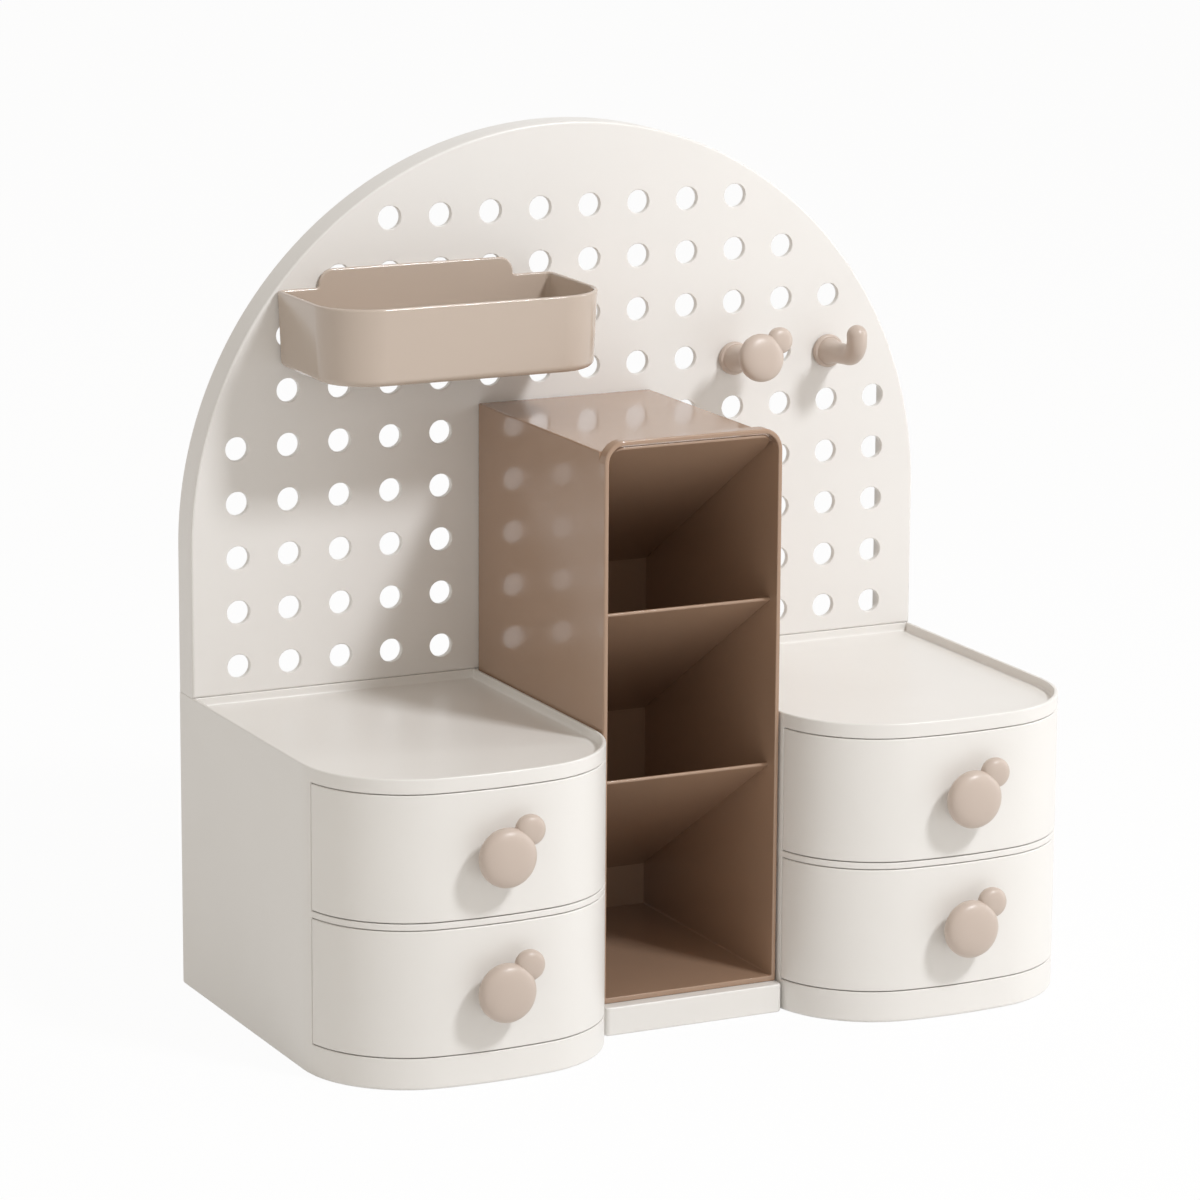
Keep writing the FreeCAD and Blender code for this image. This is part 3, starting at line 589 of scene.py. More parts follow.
def back_wall(plan, sizes, top_z):
    """Upright wall behind the bays, made of the cells between lines across and lines up, less
    a window for the barb of each board tongue."""
    sunk, window_half = 0.05 * MM, sizes.tongue / 4 + CLEAR
    window_z, window_height = plan.top - 12.6 * MM, 5.2 * MM
    inner = plan.side - sizes.wall + sunk
    xs = [-inner, *span(-plan.side / 2, window_half), *span(plan.side / 2, window_half), inner]
    zs = [sizes.foot, window_z, window_z + window_height, top_z]
    skins = []
    for i, (x0, x1) in enumerate(zip(xs, xs[1:])):
        for j, (z0, z1) in enumerate(zip(zs, zs[1:])):
            if (i, j) not in ((1, 1), (3, 1)):
                cell = [(x0, z0), (x1, z0), (x1, z1), (x0, z1)]
                skins.append(skin([[(x, y, z) for x, z in cell]
                                   for y in (sizes.back_wall, sizes.back_wall + sizes.wall)]))
    return skins


def bay_fittings(plan, sizes, floor_z, ceiling_z):
    """Two rails under a drawer and the ridge above it that stops it at full travel."""
    sunk, soft, rail_half, rail_end = 0.5 * MM, 0.3 * MM, 1.5 * MM, -2 * MM
    thick, drop, rail_x, ridge_half = 2 * MM, 4 * MM, 0.68 * plan.side, 0.6 * plan.side
    skins = []
    for x in (-rail_x, rail_x):
        skins += soft_box(span(x, rail_half), (plan.end_y, rail_end),
                          (floor_z - sunk, floor_z + sizes.rail), soft)
    return skins + soft_box(span(0, ridge_half), (-sizes.ridge_y - thick, -sizes.ridge_y),
                            (ceiling_z - drop, ceiling_z + sunk))


class ORGANIZER_OT_cabinets(bpy.types.Operator):
    """Build the two cabinet shells"""
    bl_idname = "organizer.cabinets"
    bl_label = "Cabinets"

    def execute(self, context):
        sizes = context.scene.organizer_cabinet
        plan = BowedPlan(sizes)
        right = shifted(cabinet_skins(plan, sizes), (plan.middle, 0, 0))
        for side, skins in (("right", right), ("left", flipped(right))):
            piece(side + "_cabinet_shell", skins, plastic("warm_white"), "organizer",
                  "warm_white", side + "_cabinet")
        return {"FINISHED"}


# Drawers

def drawer_front(plan, sizes, height):
    """A rounded rectangle of (out, up) carried round the bowed path, point = place + out *
    outward, and shrunk at both ends to round them."""
    soft = sizes.edge
    places, outward = plan.path(plan.end - sizes.seam / plan.corner)
    along = np.stack([outward[:, 1], -outward[:, 0]], axis=-1)
    ends, shrinks = soft * np.array([0, 0.3, 1]), soft * np.array([1, 0.29, 0])
    first = places[0] + along[0] * ends[:, None]
    last = places[-1] - along[-1] * ends[::-1, None]
    shrink = np.concatenate([shrinks, np.zeros(len(places) - 2), shrinks[::-1]])
    places = np.concatenate([first, places[1:-1], last])
    outward = np.concatenate([outward[[0, 0, 0]], outward[1:-1], outward[[-1, -1, -1]]])
    section = soft_rectangle((-sizes.panel, sizes.seam), (0, height - sizes.seam), soft, shrink)
    plan_points = places[:, None, :] + outward[:, None, :] * section[..., :1]
    return [skin(np.concatenate([plan_points, section[..., 1:]], axis=-1))]


def tray_loop(plan, half, back, radius, inset, z):
    """Loop of the tray: x = half sin t along the bowed front, straight sides and two rounded
    back corners."""
    x = half * np.sin(np.linspace(math.pi / 2, -math.pi / 2, 61))
    front = np.stack([x, plan.front_y(x, inset)], axis=-1)
    left = (-half, back) + rounding(radius, 5)[::-1] * (1, -1)
    return at_height(np.concatenate([front, mirrored(left)]), z)


def drawer_tray(plan, cabinet, sizes, height):
    """Outside of the tray from its bottom up, over the rounded rim and down to its floor, and
    the two lugs on its back that meet the ridge."""
    half = plan.side - cabinet.wall - sizes.side_gap
    play, sunk, least_corner, fillet = 0.3 * MM, 0.05 * MM, 0.6 * MM, 1.5 * MM
    lug_half, lug_thick, lug_root, lug_gap = 8 * MM, 2 * MM, 0.5 * MM, 1.2 * MM
    bottom, top = cabinet.rail + play, height - sizes.headroom
    back, wall, floor_z = -sizes.back_gap, sizes.wall, bottom + sizes.wall
    outside, inside, edge = sizes.panel / 2, sizes.panel - sunk, rounding(wall / 2)
    places = [(i, outside + i, bottom + rise) for i, rise in edge]
    places += [(i, outside, top - drop) for i, drop in edge[::-1]]
    places += [(wall - i, inside, top - drop) for i, drop in edge[1:]]
    places += [(wall + i, inside + i, floor_z + rise) for i, rise in rounding(fillet)[::-1]]
    skins = [skin([tray_loop(plan, half - inset, back - inset,
                             max(sizes.back_corner - inset, least_corner), front, z)
                   for inset, front, z in places])]
    for x in (-0.4 * plan.side, 0.4 * plan.side):
        skins += soft_box(span(x, lug_half), (back - lug_thick, back),
                          (floor_z - lug_root, height - lug_gap))
    return skins


def knob_skins(sizes):
    """Neck with a flared foot, r = neck + flare (1 - s)^3 over its length, and lobed disc."""
    s = np.linspace(0, 1, 9)
    flare = 1.2 * MM
    reach = sizes.neck + sizes.disc_thick / 4
    r = sizes.neck_radius + flare * (1 - s) ** 3
    profile = np.concatenate([[(0, 0)], np.stack([r, -reach * s], axis=-1), [(0, -reach)]])
    return turned(profile, around=40) + lobed_knob(sizes, -sizes.neck, sizes.puff)


def screw_skins():
    """Cheese head with a sunk socket, and a plain shank with a point."""
    head, rise, shank, grip, point = 3 * MM, 1.9 * MM, 1.25 * MM, 10.5 * MM, 0.8 * MM
    socket, depth, soft, nick = 1.3 * MM, 1.1 * MM, 0.3 * MM, 0.1 * MM
    return turned([(0, rise - depth), (socket, rise - depth), (socket, rise - nick),
                   (socket + nick, rise), (head - soft, rise), (head, rise - soft), (head, 0),
                   (shank, 0), (shank, point - grip), (0, -grip)], around=32)


class ORGANIZER_OT_drawers(bpy.types.Operator):
    """Build the four drawers with their knobs and screws"""
    bl_idname = "organizer.drawers"
    bl_label = "Drawers"

    def execute(self, context):
        cabinet = context.scene.organizer_cabinet
        sizes = context.scene.organizer_drawer
        plan = BowedPlan(cabinet)
        for level, (floor_z, ceiling_z) in bays(plan, cabinet).items():
            height = ceiling_z - floor_z
            drawer = drawer_front(plan, sizes, height) + drawer_tray(plan, cabinet, sizes, height)
            for side, sign in (("left", -1), ("right", 1)):
                x, knob_z = sign * plan.middle, floor_z + height / 2
                place = side + "_" + level
                body = place + "_drawer"
                piece(place + "_drawer_body", shifted(drawer, (x, 0, floor_z)),
                      plastic("warm_white"), body, "drawer_white", body)
                piece(place + "_knob_body",
                      shifted(knob_skins(sizes), (x, plan.front - CLEAR, knob_z)),
                      plastic("knob_mocha"), body, "knob_mocha", place + "_knob")
                piece(place + "_screw_body",
                      shifted(screw_skins(), (x, plan.front + sizes.panel + CLEAR, knob_z)),
                      screw_steel(), body, "screw_steel", place + "_knob_screw")
        return {"FINISHED"}


# Board

class HoleGrid:
    """The grid of holes, counted from the left-hand column and the bottom row."""

    def __init__(self, sizes):
        self.half, _, self.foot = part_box("right_cabinet")[1]
        self.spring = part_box("pegboard")[1][2] - self.half
        self.reach = self.half - sizes.margin
        self.pitch, self.rows = sizes.pitch, sizes.rows
        self.columns = 2 * math.floor((self.reach + self.pitch / 2) / self.pitch)
        self.bottom = self.foot + sizes.bottom_row

    def place(self, column, row):
        """(x, z) of a hole's centre."""
        return (column - (self.columns - 1) / 2) * self.pitch, self.bottom + row * self.pitch

    def centres(self):
        """(x, z) of every hole within the reach of the arched outline."""
        column, row = np.meshgrid(np.arange(self.columns), np.arange(self.rows))
        x, z = self.place(column.ravel(), row.ravel())
        inside = np.hypot(x, np.maximum(z - self.spring, 0)) <= self.reach
        return np.stack([x, z], axis=-1)[inside]


def arch_loop(grid, inset, y):
    """Outline of the board: x = (R - i) cos u, z = spring + (R - i) sin u over half a circle,
    and straight down to the foot at both sides."""
    u = np.linspace(0, math.pi, 121)
    reach = grid.half - inset
    foot = grid.foot + inset
    x = np.concatenate([[reach], reach * np.cos(u), [-reach]])
    z = np.concatenate([[foot], grid.spring + reach * np.sin(u), [foot]])
    return np.stack([x, np.full(len(x), y), z], axis=-1)


def perforated_face(outline, rims):
    """Flat triangles between an outline and the circles inside it."""
    around = rims.shape[1]
    points = np.concatenate([outline, rims.reshape(-1, 3)])
    edges = [(i, (i + 1) % len(outline)) for i in range(len(outline))]
    for start in range(len(outline), len(points), around):
        edges += [(start + i, start + (i + 1) % around) for i in range(around)]
    flat = [Vector((x, z)) for x, _, z in points.tolist()]
    found, _, faces, *_ = delaunay_2d_cdt(flat, edges, [], 1, 1e-8)
    triangles = np.array([face for face in faces if len(face) == 3])
    spots = np.array([tuple(point) for point in found])
    middles = spots[triangles].mean(axis=1)
    centres = rims[:, :, [0, 2]].mean(axis=1)
    radius = np.linalg.norm(rims[0, 0, [0, 2]] - centres[0])
    clear = np.full(len(triangles), True)
    for centre in centres:
        clear &= np.linalg.norm(middles - centre, axis=1) > radius * 0.95
    return np.insert(spots, 1, outline[0, 1], axis=1), triangles[clear].tolist()


def board_skins(grid, sizes, depth):
    """Plate, insides of the holes and a rim that is turned back, joined into one skin."""
    edge, plate, rim, soft = sizes.hole_edge, sizes.plate, sizes.rim, rounding(0.5 * MM)
    stations = [(sizes.hole + edge, 0), (sizes.hole, edge), (sizes.hole, plate - edge),
                (sizes.hole + edge, plate)]
    centres = np.insert(grid.centres(), 1, 0, axis=1)
    holes = circles(stations, 24) + centres[:, None, None]
    section = np.concatenate([rounding(sizes.edge), (0, depth) + soft[::-1] * (1, -1),
                              (rim, depth) - soft, (rim, plate) + soft[::-1]])
    loops = [arch_loop(grid, inset, y) for inset, y in section]
    return [tube(loops), *[tube(rings) for rings in holes],
            perforated_face(loops[0], holes[:, 0]), perforated_face(loops[-1], holes[:, -1])]


def board_fittings(grid, sizes, plan, cabinet):
    """Two stiffening posts behind the plate and the four tongues with their barbs."""
    skins = []
    tongue_back, half, soft = cabinet.back_wall - CLEAR, cabinet.tongue / 2, 0.5 * MM
    tongue_z, tongue_thick, barb_z = grid.foot - 14.9 * MM, 2.8 * MM, grid.foot - 12.5 * MM
    barb_rise, barb_reach, sunk, post = 5 * MM, 1.6 * MM, 1 * MM, 1 * MM
    post_back, outer = plan.back - 2 * CLEAR, grid.half - sizes.post
    top = grid.spring + math.sqrt((grid.half - sizes.rim / 2) ** 2 - outer ** 2)
    barb = [(tongue_back - sunk, barb_z), (tongue_back, barb_z),
            (tongue_back + barb_reach, barb_z + barb_rise),
            (tongue_back - sunk, barb_z + barb_rise)]
    for side in (-1, 1):
        skins += soft_box(span(side * (outer - post), post), (sizes.plate / 2, post_back),
                          (grid.foot + sizes.rim / 2, top))
        for place in (-plan.side / 2, plan.side / 2):
            x = side * plan.middle + place
            skins += soft_box(span(x, half), (tongue_back - tongue_thick, tongue_back),
                              (tongue_z, grid.foot + sizes.rim), soft)
            skins.append(skin([[(end, y, z) for y, z in barb] for end in span(x, half / 2)]))
    return skins


class ORGANIZER_OT_board(bpy.types.Operator):
    """Build the arched board with its grid of holes"""
    bl_idname = "organizer.board"
    bl_label = "Pegboard"

    def execute(self, context):
        sizes = context.scene.organizer_board
        cabinet = context.scene.organizer_cabinet
        grid, plan = HoleGrid(sizes), BowedPlan(cabinet)
        skins = board_skins(grid, sizes, plan.back)
        skins += board_fittings(grid, sizes, plan, cabinet)
        piece("pegboard_plate", skins, plastic("board_white"), "organizer", "board_white",
              "pegboard")
        return {"FINISHED"}


# Tails of what hangs on the board

def sag(hung, board):
    """How far below the hole's middle a tail rests."""
    return board.hole - SEAT - hung.tail


def hook_tails(grid, places, hung, board, root=ROOT):
    """For each hole a bar through it and a finger that drops behind the plate."""
    skins = []
    behind = board.plate + SEAT
    back, soft, half = behind + hung.finger, 0.5 * MM, 1.8 * MM
    profile = [(0, back), (hung.tail - soft, back), (hung.tail, back - soft),
               (hung.tail, -root), (0, -root)]
    for column, row in places:
        x, z = grid.place(column, row)
        z -= sag(hung, board)
        skins += turned(profile, (x, 0, z), 32)
        skins += soft_box(span(x, half), (behind, back), (z - hung.tail - hung.finger_drop, z),
                          half / 2)
    return skins


# Tower and bridge

def portal(half, z0, z1, top_radius, foot_radius, y, shrink=0.0):
    """Upright rectangle square to Y with its own radius for the upper and the lower corners,
    shrunk evenly by an inset."""
    loop = soft_rectangle((-half, z0), (half, z1), np.repeat([top_radius, foot_radius], 2),
                          shrink, 8)[0]
    return np.insert(loop, 1, y, axis=1)


def casing_skins(sizes, low, high):
    """Body tube closed behind and open in front, and the raised collar as a closed ring."""
    wall, edge, corner = sizes.wall, sizes.edge, sizes.collar_corner
    half, front, top = high[0], low[1], high[2] - sizes.rise
    step = 0.01 * MM
    body_y, collar_y = front + sizes.collar, front + sizes.collar + step
    inner, floor_z, inner_top = half - wall, low[2] + sizes.floor, high[2] - wall
    body = [portal(half, low[2], top, edge, edge, -SEAT - depth, inset)
            for inset, depth in rounding(edge)]
    body.append(portal(half, low[2], top, edge, edge, body_y))
    body += [portal(inner, floor_z, top - wall, edge, edge, y) for y in (body_y, -SEAT - wall)]

    def mouth(grow, y):
        """The collar's opening, widened by a length."""
        return portal(inner + grow, floor_z - grow, inner_top + grow, corner - wall + grow,
                      edge, y)

    collar = [portal(half, low[2], high[2], corner, edge, collar_y)]
    collar += [portal(half, low[2], high[2], corner, edge, front + depth, inset)
               for inset, depth in rounding(edge)[::-1]]
    collar += [mouth(inset, front + depth) for inset, depth in rounding(sizes.mouth_edge)]
    collar.append(mouth(0, collar_y))
    return [skin(body), skin(collar, closed=True)]


def slanted_skins(x, front_y, top_z, back_y, slope, thick):
    """A plate carried along X: its section falls towards the back from a half-round front
    edge, and its front edge may lie further back at some stations."""
    radius, drop, fall = thick / 2, thick / math.cos(slope), math.tan(slope)
    x, front, top = (part[:, None] for part in np.broadcast_arrays(x, front_y, top_z))
    turn = np.linspace(math.pi / 2, 3 * math.pi / 2, 9) - slope
    end_z = top - fall * (back_y - front)
    y = np.concatenate([front + radius + radius * np.cos(turn), 0 * front + (back_y, back_y)],
                       axis=1)
    z = np.concatenate([top - fall * radius - drop / 2 + radius * np.sin(turn), end_z - drop,
                        end_z], axis=1)
    return [skin(np.stack([x + 0 * y, y, z], axis=-1))]


class ORGANIZER_OT_tower(bpy.types.Operator):
    """Build the tower with its slanted ceiling and shelves"""
    bl_idname = "organizer.tower"
    bl_label = "Tower"

    def execute(self, context):
        sizes = context.scene.organizer_tower
        board = context.scene.organizer_board
        hung = context.scene.organizer_hung
        low, high = corners("tower_casing")
        grid = HoleGrid(board)
        body_top = high[2] - sizes.rise
        row = math.floor((body_top - sizes.wall - board.hole - grid.bottom) / grid.pitch)
        places = [((grid.columns - 4) // 2, row), (grid.columns // 2 + 1, row)]
        skins = casing_skins(sizes, low, high)
        skins += hook_tails(grid, places, hung, board)
        # The tower's material carries painted shade: its mocha is darker than the basket's.
        piece("tower_case", skins, plastic("shade_darkened_tower_mocha"), "tower", "mocha", "tower_casing")

        # The ceiling follows the collar's round corners: lower and further back at its sides.
        inner, back_y = high[0] - sizes.wall - CLEAR, -SEAT - sizes.wall - CLEAR
        corner = sizes.collar_corner - sizes.wall
        side = np.linspace(inner - corner, inner, 12)
        ceiling_x = np.concatenate([-side[::-1], side])
        aside = np.abs(ceiling_x) - (inner - corner)
        sink = corner - np.sqrt(np.maximum(corner ** 2 - np.maximum(aside, 0) ** 2, 0))
        shelf_x = np.array([-inner, inner])
        for name, x, drop in (("ceiling", ceiling_x, sink), ("upper_shelf", shelf_x, 0),
                              ("lower_shelf", shelf_x, 0)):
            shelf_low, shelf_high = corners("tower_" + name)
            plate = slanted_skins(x, shelf_low[1] + drop / math.tan(sizes.slope),
                                  shelf_high[2] - drop, back_y, sizes.slope, sizes.shelf)
            # The same material with painted shade for the ceiling and the shelves.
            piece("tower_" + name + "_plate", plate, plastic("shade_darkened_tower_mocha"), "tower", "mocha",
                  "tower_" + name)
        return {"FINISHED"}


def bridge_skins(sizes, low, high):
    """Plinth as an upside-down tray, and the upright back panel with flanges and hook tabs."""
    half = -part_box("left_cabinet")[1][0] - CLEAR
    wall, edge, soft = sizes.bridge_wall, rounding(sizes.plinth_edge), 0.3 * MM
    plinth, top, reach, sunk, proud = sizes.plinth, high[2], high[0], 1 * MM, 0.5 * MM
    levels = np.concatenate([[(wall, plinth - wall), (wall, soft), (wall - soft, 0)], edge,
                             (0, plinth) + edge[::-1] * (1, -1)])
    outline = soft_rectangle((-half, low[1]), (half, high[1]), wall, levels[:, 0])
    skins = [skin(at_height(outline, levels[:, 1]))]
    skins += soft_box(span(0, half), (0, wall), (plinth - sunk, top))
    for side in (-1, 1):
        skins += soft_box(span(side * (half - wall / 2), wall / 2), (proud, high[1]),
                          (plinth - sunk, top))
    skins += soft_box(span(0, half - soft), (proud, high[1]), (top - wall, top))
    rib, hollow = 1 * MM, (CLEAR, plinth - wall / 2)
    skins += soft_box(span(0, rib), (low[1] + wall / 2, high[1] - wall / 2), hollow, soft)
    skins += soft_box(span(0, half - wall / 2), span((low[1] + high[1]) / 2, rib), hollow, soft)
    tab_y, tab_height, hook, hook_drop = (1.8 * MM, 7.8 * MM), 6 * MM, 2.4 * MM, 5 * MM
    for z in (0.24 * top, 0.72 * top):
        tab = soft_box((half - wall, reach), tab_y, (z, z + tab_height))
        tab += soft_box((reach - hook, reach), tab_y, (z - hook_drop, z + tab_height))
        skins += tab + flipped(tab)
    return skins


class ORGANIZER_OT_bridge(bpy.types.Operator):
    """Build the centre bridge under and behind the tower"""
    bl_idname = "organizer.bridge"
    bl_label = "Centre bridge"

    def execute(self, context):
        skins = bridge_skins(context.scene.organizer_tower, *corners("centre_bridge"))
        piece("centre_bridge_body", skins, plastic("warm_white"), "organizer", "warm_white",
              "centre_bridge")
        return {"FINISHED"}


# Basket

def tab_contour(half, sizes, rim_z):
    """Top edge of the basket's back from right to left as (x, z), and its outward direction:
    level, up a small hollow curve, round the tab's corner, and the same mirrored."""
    foot, hollow = (sizes.tab / 2, rim_z), 1.2 * MM
    head = (sizes.tab / 2, rim_z + sizes.tab_rise)
    turn = quarter(8)
    ways = np.stack([np.sin(turn), np.cos(turn)], axis=-1)
    right = np.concatenate([[(half, rim_z)], foot + rounding(hollow, 8),
                            head - rounding(sizes.tab_corner, 8)[::-1]])
    return mirrored(right), mirrored(np.concatenate([[(0, 1)], ways, ways[:, ::-1]]))


def basket_skins(sizes, low, high, rim_z, floor_z):
    """Loops from the floor's underside up the outside, over the rim and down the inside. The
    back part of the upper loops follows the tab's contour."""
    half, back_y, back_corner = (high[0] - low[0]) / 2, -SEAT, 2 * MM
    wall, draft, tall = sizes.basket_wall, sizes.basket_draft, rim_z - floor_z
    edge_x, under_rim, fillet = half - 3 * MM, 3 * MM, 2.4 * MM
    contour, outward = tab_contour(edge_x, sizes, rim_z)
    spread = np.linspace(edge_x, -edge_x, len(contour))

    def loop(inset, z, back_inset, sink=None):
        """Both side walls with the front between them, from the left back corner round, and
        the back from right to left: level, or along the contour sunk by a depth."""
        side, back = half - inset, back_y - back_inset
        walls = mirrored(np.concatenate([
            (-side, back) + rounding(back_corner, 3) * (1, -1),
            (-side, low[1] + inset) + rounding(sizes.basket_corner - inset, 12)[::-1]]))
        x, top_z = (spread, 0 * spread + z) if sink is None else (contour - sink * outward).T
        limit = side - back_corner - 2 * CLEAR
        rear = np.stack([np.clip(x, -limit, limit), 0 * x + back, top_z], axis=-1)
        return np.concatenate([at_height(walls, z), rear])

    lean, inner_floor = draft * under_rim / tall, floor_z + wall
    edge, soft = rounding(sizes.basket_edge, 5), rounding(wall / 2, 5)
    rings = [loop(draft * (1 - rise / tall) + i, floor_z + rise, i) for i, rise in edge]
    rings.append(loop(lean, rim_z - under_rim, 0))
    rings += [loop(i, rim_z - drop, i, drop) for i, drop in soft[::-1]]
    rings += [loop(wall - i, rim_z - drop, wall - i, drop) for i, drop in soft[1:]]
    rings.append(loop(wall + lean, rim_z - under_rim, wall))
    rings += [loop(wall + draft + i, inner_floor + rise, wall + i)
              for i, rise in rounding(fillet, 5)[::-1]]
    return shifted([skin(rings)], ((low[0] + high[0]) / 2, 0, 0))


class ORGANIZER_OT_basket(bpy.types.Operator):
    """Build the basket that hangs on the board"""
    bl_idname = "organizer.basket"
    bl_label = "Basket"

    def execute(self, context):
        sizes = context.scene.organizer_hung
        board = context.scene.organizer_board
        low, high = corners("basket")
        grid = HoleGrid(board)
        rim_z = high[2] - sizes.tab_rise
        skins = basket_skins(sizes, low, high, rim_z, low[2] + sizes.basket_lift)
        row = round((rim_z - grid.bottom) / grid.pitch)
        middle = (low[0] + high[0]) / 2
        first = round(middle / grid.pitch + (grid.columns - 1) / 2 - 1.5)
        skins += hook_tails(grid, [(first, row), (first + 3, row)], sizes, board, SHORT_ROOT)
        piece("basket_shell", skins, plastic("basket_mocha"), "basket", "mocha", "basket")
        return {"FINISHED"}


# Pegs

def flange_skins(sizes):
    """Round flange with a soft front edge, over its hole."""
    back, radius, nick, soft = -SEAT, sizes.flange, 0.3 * MM, 1.1 * MM
    front = back - sizes.flange_thick
    rim = (radius, front) + rounding(soft, 5)[::-1] * (-1, 1)
    return turned(np.concatenate([[(0, back), (radius - nick, back), (radius, back - nick)], rim,
                                  [(0, front)]]))


def swept_bar(centres, angles, radii, around=32):
    """A round bar in the YZ plane: each station is a circle square to its direction, which
    leans up from straight ahead by an angle."""
    angles, radii = angles[:, None], radii[:, None]
    u = np.linspace(0, 2 * math.pi, around, endpoint=False)
    y = centres[:, :1] + radii * np.sin(u) * np.sin(angles)
    z = centres[:, 1:] + radii * np.sin(u) * np.cos(angles)
    return [skin(np.stack([radii * np.cos(u), y, z], axis=-1))]


def flared(sizes, radius, reach):
    """Centres (y, z) and radii from inside the flange outwards: the bar widens into the flange
    along a hollow curve, r = R + (root - R) (1 - s)^2 and more close to the flange."""
    s = np.linspace(0, 1, 10)
    near_root = 0.9 * MM
    radii = radius + (sizes.root_radius - radius) * (1 - s) ** 2 + near_root * (1 - s) ** 8
    y = np.concatenate([[-SHORT_ROOT], -sizes.flange_thick - reach * s])
    return np.stack([y, 0 * y], axis=-1), np.concatenate([radii[:1], radii])


def knob_stem(sizes, puff):
    """Flared neck and lobed disc, straight ahead before the tilt."""
    centres, radii = flared(sizes, sizes.neck_radius, sizes.neck + sizes.disc_thick / 4)
    return (swept_bar(centres, np.zeros(len(centres)), radii)
            + lobed_knob(sizes, -sizes.flange_thick - sizes.neck, puff))


def hook_stem(sizes):
    """Straight bar, quarter bend and upright finger with a round tip."""
    bend_y = sizes.hook_bend - sizes.hook_reach
    centres, radii = flared(sizes, sizes.hook_bar, -bend_y - sizes.flange_thick)
    turn = quarter(14)
    level, upright = 0 * turn, 0 * turn + math.pi / 2
    bend = np.stack([bend_y - sizes.hook_bend * np.sin(turn),
                     sizes.hook_bend * (1 - np.cos(turn))], axis=-1)
    tip = np.stack([level - sizes.hook_reach,
                    sizes.hook_height - sizes.hook_bar * (1 - np.sin(turn))], axis=-1)
    tip_radii = sizes.hook_bar * np.cos(turn)
    tip_radii[-1] = 0
    return swept_bar(np.concatenate([centres, bend[1:], tip]),
                     np.concatenate([np.zeros(len(centres)), turn[1:], upright]),
                     np.concatenate([radii, level[1:] + sizes.hook_bar, tip_radii]))


class ORGANIZER_OT_pegs(bpy.types.Operator):
    """Build the knob peg and the hook peg"""
    bl_idname = "organizer.pegs"
    bl_label = "Pegs"

    def execute(self, context):
        sizes = context.scene.organizer_hung
        board = context.scene.organizer_board
        grid = HoleGrid(board)
        raised = 0.9 * MM
        knob = tilted(knob_stem(sizes, context.scene.organizer_drawer.puff), -sizes.knob_tilt)
        hook = tilted(hook_stem(sizes), -sizes.hook_tilt)
        for name, column, stem in (("peg_knob", grid.columns - 4, knob),
                                   ("hook_peg", grid.columns - 2, hook)):
            x, z = grid.place(column, sizes.peg_row)
            skins = shifted(flange_skins(sizes) + stem, (x, 0, z - sag(sizes, board) + raised))
            skins += hook_tails(grid, [(column, sizes.peg_row)], sizes, board)
            piece(name + "_body", skins, plastic("knob_mocha"), name, "knob_mocha", name)
        return {"FINISHED"}


# Stage

def area_light(name, turn, rise, distance, size, watts, tint):
    """A soft lamp that looks at the object, turned to the right of its front by an angle and
    raised above level by another: place = aim + d (cos e sin a, -cos e cos a, sin e)."""
    aim = Vector((0, -0.05, 0.18))
    turn, rise = math.radians(turn), math.radians(rise)
    way = Vector((math.cos(rise) * math.sin(turn), -math.cos(rise) * math.cos(turn),
                  math.sin(rise)))
    lamp = bpy.data.lights.new(name, "AREA")
    lamp.shape = "RECTANGLE"
    lamp.size, lamp.size_y = size
    lamp.energy = watts
    lamp.color = tint
    thing = bpy.data.objects.new(name, lamp)
    bpy.context.scene.collection.objects.link(thing)
    thing.location = aim + distance * way
    thing.rotation_euler = (-way).to_track_quat("-Z", "Y").to_euler()


def seen_directly(nodes, links):
    """One where a ray comes from the camera or by gloss or glass, and nought elsewhere."""
    path = nodes.new("ShaderNodeLightPath")
    total = path.outputs["Is Camera Ray"]
    for ray in ("Is Glossy Ray", "Is Transmission Ray"):
        either = nodes.new("ShaderNodeMath")
        either.operation = "MAXIMUM"
        links.new(total, either.inputs[0])
        links.new(path.outputs[ray], either.inputs[1])
        total = either.outputs[0]
    return total


def mixed(nodes, links, share_of_second, first, second):
    """Output of a mix of two shaders."""
    mix = nodes.new("ShaderNodeMixShader")
    for source, place in ((share_of_second, 0), (first, 1), (second, 2)):
        links.new(source, mix.inputs[place])
    return mix.outputs["Shader"]


def white_world(strength):
    """Even warm light from all round, and plain white where the background is seen."""
    world = bpy.data.worlds.new("studio_world")
    world.use_nodes = True
    nodes, links = world.node_tree.nodes, world.node_tree.links
    light = given(nodes["Background"], Color=(1, 0.935, 0.85, 1), Strength=strength)
    seen = given(nodes.new("ShaderNodeBackground"), Color=(1, 1, 1, 1))
    both = mixed(nodes, links, seen_directly(nodes, links), light.outputs["Background"],
                 seen.outputs["Background"])
    links.new(both, nodes["World Output"].inputs["Surface"])
    bpy.context.scene.world = world


def floor_material(strength):
    """White floor that keeps the object's shadow and is lifted to white where it is seen."""
    material, nodes, links = fresh("studio_floor")
    matt = given(nodes["Principled BSDF"], Base_Color=(0.86, 0.86, 0.86, 1), Roughness=0.9,
                 Specular_IOR_Level=0.1)
    glow = given(nodes.new("ShaderNodeEmission"), Color=(1, 1, 1, 1), Strength=1)
    lift = nodes.new("ShaderNodeMath")
    lift.operation = "MULTIPLY"
    lift.inputs[1].default_value = strength
    links.new(seen_directly(nodes, links), lift.inputs[0])
    both = mixed(nodes, links, lift.outputs[0], matt.outputs["BSDF"], glow.outputs["Emission"])
    links.new(both, nodes["Material Output"].inputs["Surface"])
    return material


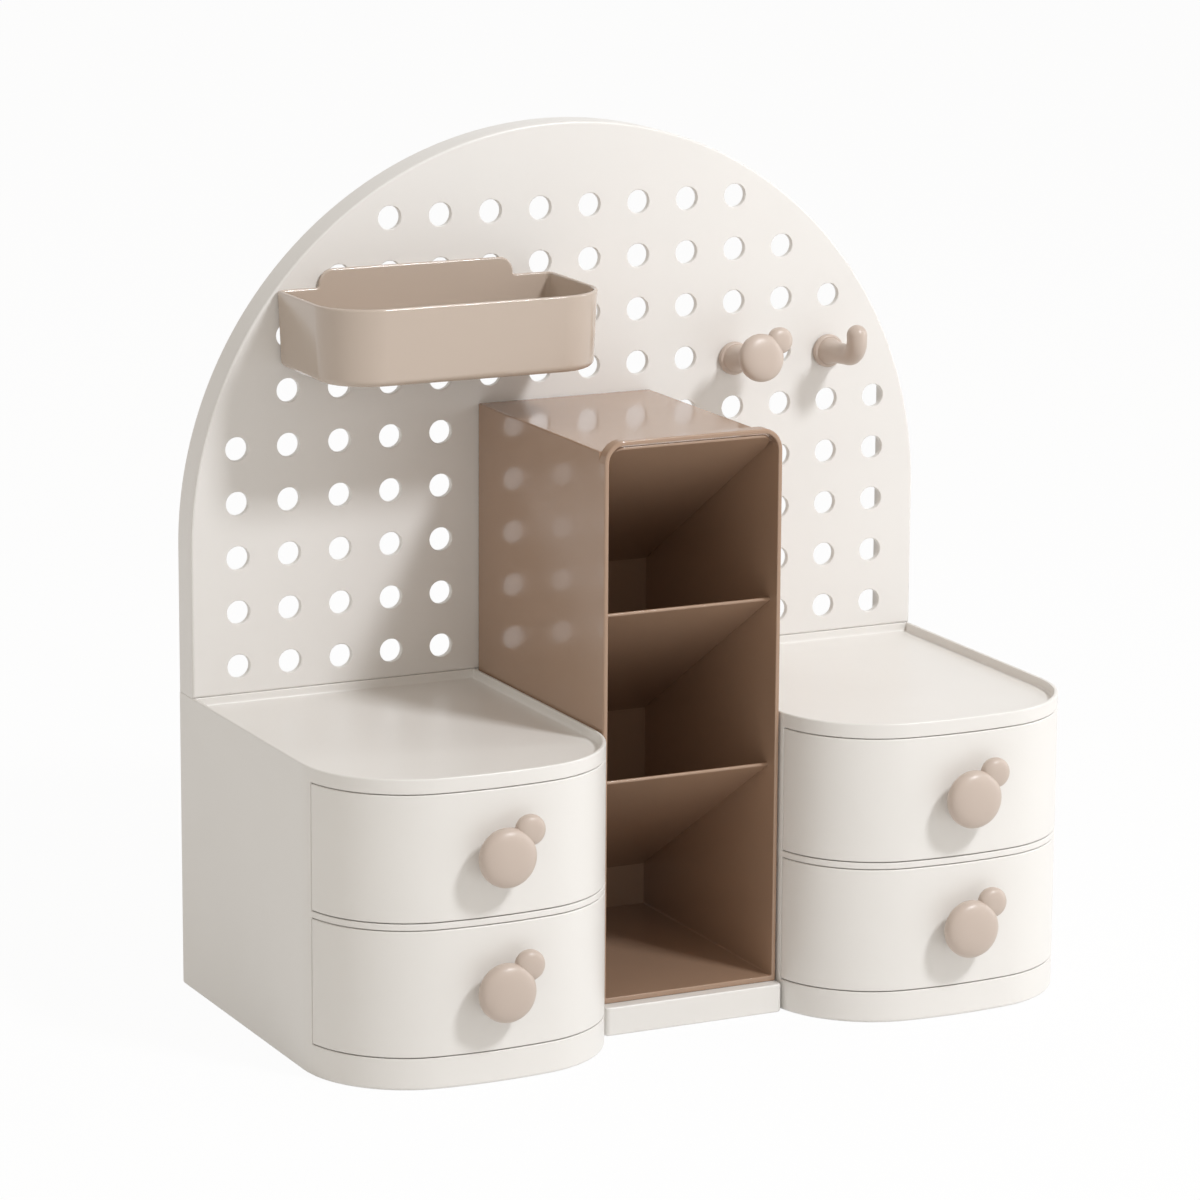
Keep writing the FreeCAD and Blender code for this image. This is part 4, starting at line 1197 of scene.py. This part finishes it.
class ORGANIZER_OT_stage(bpy.types.Operator):
    """Set up the camera, the floor and the lights"""
    bl_idname = "organizer.stage"
    bl_label = "Stage"

    def execute(self, context):
        stage = context.scene.organizer_stage
        context.scene.view_settings.view_transform = "Standard"
        lens = bpy.data.cameras.new("photo_camera")
        lens.sensor_fit = "HORIZONTAL"
        lens.sensor_width = 36
        lens.lens = stage.lens
        lens.clip_end = 50
        camera = bpy.data.objects.new("photo_camera", lens)
        context.scene.collection.objects.link(camera)
        camera.matrix_world = (Matrix.Translation(stage.place)
                               @ Matrix.Rotation(-stage.azimuth, 4, "Z")
                               @ Matrix.Rotation(math.pi / 2 - stage.elevation, 4, "X")
                               @ Matrix.Rotation(stage.roll, 4, "Z"))
        context.scene.camera = camera
        mesh = bpy.data.meshes.new("studio_floor")
        mesh.from_pydata([(x * stage.floor, y * stage.floor, 0)
                          for x, y in ((-1, -1), (1, -1), (1, 1), (-1, 1))], [], [(0, 1, 2, 3)])
        mesh.materials.append(floor_material(stage.lift))
        floor = bpy.data.objects.new("studio_floor", mesh)
        context.scene.collection.objects.link(floor)
        cool, warm = (0.94, 0.965, 1), (1, 0.95, 0.88)
        for name, turn, rise, distance, size, watts, tint in (
                ("key_light", 27, 44, 2.4, (0.34, 0.34), stage.key, cool),
                ("side_light", 74, 16, 1.8, (0.35, 1.2), stage.side, cool),
                ("fill_light", -50, 25, 2.2, (1.2, 1.2), stage.fill, warm)):
            area_light(name, turn, rise, distance, size, watts, tint)
        white_world(stage.sky)
        return {"FINISHED"}


class ORGANIZER_PT_panel(bpy.types.Panel):
    """Lists the operators and the sizes of the organizer"""
    bl_label = "Desk organizer"
    bl_idname = "ORGANIZER_PT_panel"
    bl_space_type = "VIEW_3D"
    bl_region_type = "UI"
    bl_category = "Organizer"

    def draw(self, context):
        for name in OPERATORS:
            self.layout.operator("organizer." + name)
        for name, group in GROUPS.items():
            box = self.layout.box()
            box.label(text=name.capitalize())
            for size in group.__annotations__:
                box.prop(getattr(context.scene, "organizer_" + name), size)


GROUPS = {"cabinet": OrganizerCabinetSizes, "drawer": OrganizerDrawerSizes,
          "board": OrganizerBoardSizes, "tower": OrganizerTowerSizes,
          "hung": OrganizerHungSizes, "finish": OrganizerFinish, "stage": OrganizerStage}
OPERATORS = ("cabinets", "drawers", "board", "tower", "bridge", "basket", "pegs", "stage")
CLASSES = (*GROUPS.values(), ORGANIZER_OT_cabinets, ORGANIZER_OT_drawers, ORGANIZER_OT_board,
           ORGANIZER_OT_tower, ORGANIZER_OT_bridge, ORGANIZER_OT_basket, ORGANIZER_OT_pegs,
           ORGANIZER_OT_stage, ORGANIZER_PT_panel)


def register():
    """Register every class and hang its sizes on the scene."""
    for each in CLASSES:
        bpy.utils.register_class(each)
    for name, group in GROUPS.items():
        setattr(bpy.types.Scene, "organizer_" + name, PointerProperty(type=group))


def unregister():
    """Take the sizes off the scene and unregister every class."""
    for name in GROUPS:
        delattr(bpy.types.Scene, "organizer_" + name)
    for each in reversed(CLASSES):
        bpy.utils.unregister_class(each)


def main():
    """Build every piece and the stage."""
    register()
    for name in OPERATORS:
        getattr(bpy.ops.organizer, name)()


if __name__ == "__main__":
    main()
